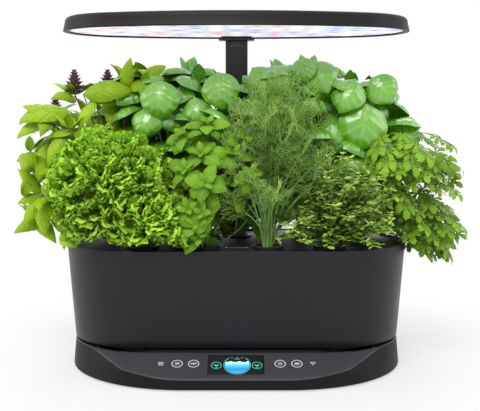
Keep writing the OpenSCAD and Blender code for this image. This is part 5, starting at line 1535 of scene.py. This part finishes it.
class GARDEN_OT_parsley(bpy.types.Operator):
    """Flat-leaf parsley and curly parsley"""

    bl_idname = "garden.parsley"
    bl_label = "Parsley"

    def execute(self, context):
        self.flat(context)
        self.curly(context)
        return {"FINISHED"}

    def leaflet(self, length, arch, phase):
        """Three toothed lobes from one foot"""
        parts = []
        for turn, size in ((0, 1.0), (50, 0.8), (-50, 0.8)):
            lobe = blade(length * size, length * size * 0.5, lobed, cells=(10, 2), arch=arch, rise=0.12, cup=0.12,
                         ruffle=0.5, waves=2, phase=phase + turn, veins=4)
            a = math.radians(turn)
            parts.append((lobe, facing((0, 0, 0.15 * (turn > 0)), (math.cos(a), math.sin(a), 0.0))))
        return parts

    def compound(self, length, arch):
        """Leaf of five leaflets on a forked stalk"""
        stalk = Mesher()
        stalk.tube([(-12, 0, -1.5), (0, 0, 0), (length * 0.42, 0, 0.4)], [0.8, 0.7, 0.4], 5)
        parts = [(stalk.points, stalk.faces, stalk.uvs, None)]
        leaflets = ((0, 0.5, 0.55), (62, 0.42, 0.4), (-62, 0.42, 0.4), (78, 0.05, 0.46), (-78, 0.05, 0.46))
        for turn, start, size in leaflets:
            a = math.radians(turn)
            at = Vector((length * start, 0, 0.2))
            where = facing(at, (math.cos(a), math.sin(a), 0.05))
            for (points, faces, uvs), matrix in self.leaflet(length * size, arch, turn):
                parts.append((points, faces, uvs, where @ matrix))
        return parts

    def flat(self, context):
        """Flat-leaf parsley that leans out over the bowl's right end"""
        size = context.scene.garden_sizes.parsley_leaf / MM
        herb = Herb("flat_parsley", 4, context.scene.garden_sizes.seed + 5)
        chance = herb.chance
        count = 128
        for s in range(count):
            high = s / (count - 1)
            angle = s * GOLDEN
            out = math.sqrt(chance.uniform(0.12, 1.0))
            tip = Vector((222, 14, 160 + 142 * high - 18 * out))
            tip += Vector((44 * out * math.cos(angle), 52 * out * math.sin(angle), 0))
            if s % 5 == 0:
                tip = Vector((chance.uniform(226, 256), chance.uniform(-30, 40), chance.uniform(138, 178)))
            tip.x -= 34 * max(0.0, high - 0.6)
            low = herb.root(9)
            pull = Vector((low.x * 0.55 + tip.x * 0.45, (low.y + tip.y) / 2, max(low.z, tip.z) + 10 + 22 * out))
            if not all(herb.clear(curve_at(low, pull, tip, t), 1.0) for t in (0.4, 0.6, 0.8, 1.0)):
                continue
            herb.stem(low, pull, tip, 1.2, 0.6, 10, 5)
            face = Vector((tip.x - 206, tip.y - 60, 26 + 40 * high)).normalized()
            face += Vector((chance.uniform(-0.5, 0.5), chance.uniform(-0.6, 0.3), chance.uniform(-0.4, 0.5)))
            end = (tip - curve_at(low, pull, tip, 0.93)).normalized()
            aim = end * 0.5 + around(angle, -0.35) * 0.7 + Vector((0, 0, -0.25))
            herb.leaf(tip, aim, chance.uniform(0.75, 1.05), chance.choice((0, 1, 2)), reach=size, up=face)
        forms = (self.compound(size * 0.9, 0.3), self.compound(size, 0.6), self.compound(size * 1.05, 0.9))
        # Satin leaf: dark green that turns light at its lobes
        leaf = leaf_material("flat_parsley_leaf_satin", "#0a3001", "#8cbc28", "#b5da78", 0.36, 0.5, 5, 0.3, 0.4, 0.2)
        stalk = stem_material("flat_parsley_stalk", "#7cb04a", "#a2cb6c")
        herb.grow(forms, leaf, stalk, "parsley_leaves")

    def curl(self, length, turns, seed):
        """Tight spray of ruffled leaflets"""
        chance = random.Random(seed)
        parts = []
        for k in range(7):
            a = math.radians((k - 3) * 38 + chance.uniform(-8, 8))
            points, faces, uvs = blade(
                length * (0.95 - 0.07 * abs(k - 3)), length * 0.75, skewed(0.62, 0.4), cells=(8, 2), arch=0.8, rise=0.7,
                cup=0.1, ruffle=length * 0.16, waves=turns, phase=k * 1.7, veins=4,
            )
            parts.append((points, faces, uvs, facing((0, 0, 0), (math.cos(a), math.sin(a), chance.uniform(-0.1, 0.5)))))
        return parts

    def curly(self, context):
        """Curly parsley: a cushion of sprays, with a smaller one in front of it"""
        herb = Herb("curly_parsley", 5, context.scene.garden_sizes.seed + 6)
        chance = herb.chance
        count = context.scene.garden_sizes.curl_count
        for s in range(count):
            z = 1 - 1.75 * (s + 0.5) / count
            ring = math.sqrt(max(0.0, 1 - z * z))
            angle = s * GOLDEN
            way = Vector((ring * math.cos(angle), ring * math.sin(angle), z))
            shell = 1.0 - 0.4 * chance.random() ** 2.2 + 0.05 * math.sin(5 * angle) * ring
            if s % 5:
                middle, reach = Vector((-148 + 10 * (z < 0), -62, 210)), Vector((74, 48, 74))
            else:
                middle, reach = Vector((-94, -84, 180)), Vector((42, 32, 38))
            at = middle + way * reach * shell
            at.y = min(at.y, -14)
            if not herb.clear(at, 3.0):
                continue
            # Painted light and shade: sprays high on the cushion get a lighter tone, those low on it a darker one
            tone = 0.2 + 0.8 * (z + 0.8) / 1.8 * chance.uniform(0.6, 1.0)
            aim = way + Vector((0, -0.25, 0.15))
            herb.leaf(at, aim, chance.uniform(0.8, 1.2), s % 3, roll=chance.uniform(-1.2, 1.2), tint=tone, reach=13)
            if s % 4 == 0:
                low = herb.root(9)
                pull = low.lerp(at, 0.5) + Vector((0, 0, 24))
                herb.stem(low, pull, at, 1.3, 0.6, 8, 5)
        forms = (self.curl(14, 2, 1), self.curl(17, 3, 2), self.curl(18, 2, 3))
        # Crisp leaf: bright yellow green at its ruffled edge, and dark where painted shade falls deep in the cushion
        # and low on it
        leaf = leaf_material("curly_parsley_leaf", "#082802", "#b8ea48", "#d0ee84", 0.4, 0.4, 4, 0.2, 0.8)
        stalk = stem_material("curly_parsley_stalk", "#66a53a", "#92c658")
        herb.grow(forms, leaf, stalk, "curly_leaves")


class GARDEN_OT_dill(bpy.types.Operator):
    """Dill: stalks with feathery fronds of threads"""

    bl_idname = "garden.dill"
    bl_label = "Dill"

    def frond(self, length, seed):
        """Feathered frond: a rib with side ribs that fork into threads"""
        chance = random.Random(seed)
        mesher = Mesher()
        rib = [(length * t, 0, 2.5 * math.sin(2.2 * t)) for t in (0, 0.25, 0.5, 0.75, 1.0)]
        mesher.tube(rib, [0.6, 0.55, 0.48, 0.4, 0.3], 3)
        for k in range(8):
            t = 0.16 + 0.8 * k / 7
            reach = length * 0.46 * math.sin(math.pi * min(1.0, 0.35 + 0.6 * t))
            for side in (-1, 1):
                a = side * math.radians(46 + chance.uniform(-10, 10))
                start = Vector((length * t, 0, 2.5 * math.sin(2.2 * t)))
                way = Vector((math.cos(a), math.sin(a), chance.uniform(-0.15, 0.35)))
                mesher.tube([start, start + way * reach], [0.4, 0.26], 3)
                for q in range(3):
                    b = a + math.radians((-1) ** q * (26 + 8 * q))
                    at = start + way * reach * (0.4 + 0.25 * q)
                    thread = Vector((math.cos(b), math.sin(b), chance.uniform(-0.5, 0.6)))
                    mesher.tube([at, at + thread * reach * 0.55], [0.36, 0.22], 3)
        return [(mesher.points, mesher.faces, mesher.uvs, None)]

    def execute(self, context):
        herb = Herb("dill", 7, context.scene.garden_sizes.seed + 7)
        chance = herb.chance
        count = 40
        for s in range(count):
            angle = s * GOLDEN
            out = math.sqrt((s + 0.5) / count)
            high = 338 - 62 * out * out - 44 * chance.random()
            tip = Vector((46 + 56 * out * math.cos(angle), -50 + 34 * out * math.sin(angle), high))
            if s % 4 == 0:
                tip = Vector((46 + 62 * math.cos(angle), -60 + 40 * math.sin(angle), chance.uniform(196, 250)))
            if s % 8 == 2:
                tip = Vector((chance.uniform(38, 84), chance.uniform(-40, -20), chance.uniform(172, 204)))
            low = herb.root(8)
            pull = Vector((low.x * 0.7 + tip.x * 0.3, low.y * 0.7 + tip.y * 0.3, low.z + 0.72 * (tip.z - low.z)))
            herb.stem(low, pull, tip, 1.2, 0.5, 10, 5)
            for p in range(5):
                t = 0.6 + 0.38 * p / 4
                at = curve_at(low, pull, tip, t)
                along = around(angle + p * 2.4, chance.uniform(0.1, 0.85))
                size, form, roll = chance.uniform(0.7, 1.0), chance.choice((0, 1, 2)), chance.uniform(-1.5, 1.5)
                herb.leaf(at, along, size, form, roll=roll, reach=32)
            way = (tip - pull).normalized()
            herb.leaf(tip, way, 0.9, 1, roll=chance.uniform(-1.5, 1.5), reach=32)
        forms = (self.frond(28, 1), self.frond(36, 2), self.frond(40, 3))
        # Threads: dark inside the herb by painted shade and light outside by painted light, with no veins or gleam
        leaf = leaf_material("dill_frond", "#031800", "#b4e070", "#b9dd86", 0.5, 0.05, 3, 0.0, 0.0)
        herb.grow(forms, leaf, stem_material("dill_stalk", "#74ac4c", "#a2cb74"), "dill_leaves")
        return {"FINISHED"}


class GARDEN_OT_thyme(bpy.types.Operator):
    """Thyme: wiry stems with tiny leaves and pale yellow buds"""

    bl_idname = "garden.thyme"
    bl_label = "Thyme"

    def execute(self, context):
        herb = Herb("thyme", 8, context.scene.garden_sizes.seed + 8)
        chance = herb.chance
        buds = Mesher()
        count = 130
        for s in range(count):
            angle = s * GOLDEN
            out = math.sqrt((s + 0.5) / count)
            high = 270 - 52 * out * out - 46 * chance.random()
            tip = Vector((132 + 58 * out * math.cos(angle), -60 + 46 * out * math.sin(angle), high))
            if s % 4 == 0:
                tip = Vector((chance.uniform(48, 182), chance.uniform(-104, -86), chance.uniform(157, 196)))
            low = herb.root(9)
            sway = Vector((chance.uniform(-12, 12), chance.uniform(-8, 8), 26 * chance.random() + 6))
            pull = low.lerp(tip, 0.5) + sway
            if not all(herb.clear(curve_at(low, pull, tip, t), 1.0) for t in (0.5, 0.75, 1.0)):
                continue
            herb.stem(low, pull, tip, 0.8, 0.4, 10, 4)
            for p in range(12):
                t = 0.26 + 0.74 * p / 11
                at = curve_at(low, pull, tip, t)
                for side in (0, math.pi):
                    along = around(angle + p * 1.6 + side, chance.uniform(-0.3, 0.6))
                    herb.leaf(at, along, chance.uniform(0.7, 1.2), chance.choice((0, 1, 2)), reach=9)
            if s % 5 == 0:
                for k in range(4):
                    at = tip + around(k * 1.6 + angle, 0.6) * 1.8
                    bud = blade(4.0, 3.2, skewed(0.5), cells=(3, 1), arch=0.4, rise=0.4)
                    buds.put(*bud, facing(at, around(k * 1.6 + angle, 0.5)))
        shape = {"outline": skewed(0.5), "cells": (5, 1), "veins": 3}
        forms = (
            [blade(7.5, 4.4, arch=0.3, rise=0.3, cup=0.3, **shape)],
            [blade(10, 5.8, arch=0.5, rise=0.2, cup=0.3, **shape)],
            [blade(9, 5.0, arch=0.7, rise=0.1, cup=0.2, **shape)],
        )
        # Matte leaf: tiny and pale, with a faint midrib
        leaf = leaf_material("thyme_leaf_matte", "#0f3a02", "#b6dc66", "#dcec9c", 0.5, 0.1, 3, 0.2)
        herb.grow(forms, leaf, stem_material("thyme_stem_woody", "#7f9e48", "#b9cf74"), "thyme_leaves")
        # Buds: soft yellow specks at the tips
        bud = stem_material("thyme_bud_yellow", "#d9d264", "#f0ea9a")
        place(buds.make("thyme_buds", [bud], 60.0), "deck", ["thyme"])
        return {"FINISHED"}


class GARDEN_PT_panel(bpy.types.Panel):
    """Lists the garden's pieces in the sidebar"""

    bl_idname = "GARDEN_PT_panel"
    bl_label = "Hydroponic garden"
    bl_space_type = "VIEW_3D"
    bl_region_type = "UI"
    bl_category = "Garden"

    def draw(self, context):
        column = self.layout.column()
        for group in (context.scene.garden_sizes, context.scene.garden_colours):
            for name in group.bl_rna.properties.keys():
                if name not in ("rna_type", "name"):
                    column.prop(group, name)
        for operator in OPERATORS:
            column.operator(operator.bl_idname)


OPERATORS = (
    GARDEN_OT_stage,
    GARDEN_OT_base,
    GARDEN_OT_display,
    GARDEN_OT_bowl,
    GARDEN_OT_deck,
    GARDEN_OT_pump,
    GARDEN_OT_mast,
    GARDEN_OT_hood,
    GARDEN_OT_basil,
    GARDEN_OT_thai_basil,
    GARDEN_OT_mint,
    GARDEN_OT_parsley,
    GARDEN_OT_dill,
    GARDEN_OT_thyme,
)
CLASSES = (GardenSizes, GardenColours) + OPERATORS + (GARDEN_PT_panel,)


def register():
    for item in CLASSES:
        bpy.utils.register_class(item)
    bpy.types.Scene.garden_sizes = bpy.props.PointerProperty(type=GardenSizes)
    bpy.types.Scene.garden_colours = bpy.props.PointerProperty(type=GardenColours)


def unregister():
    del bpy.types.Scene.garden_colours
    del bpy.types.Scene.garden_sizes
    for item in reversed(CLASSES):
        bpy.utils.unregister_class(item)


def main():
    """Makes every piece through its operator"""
    register()
    for operator in OPERATORS:
        getattr(bpy.ops.garden, operator.bl_idname.split(".")[1])()


if __name__ == "__main__":
    main()
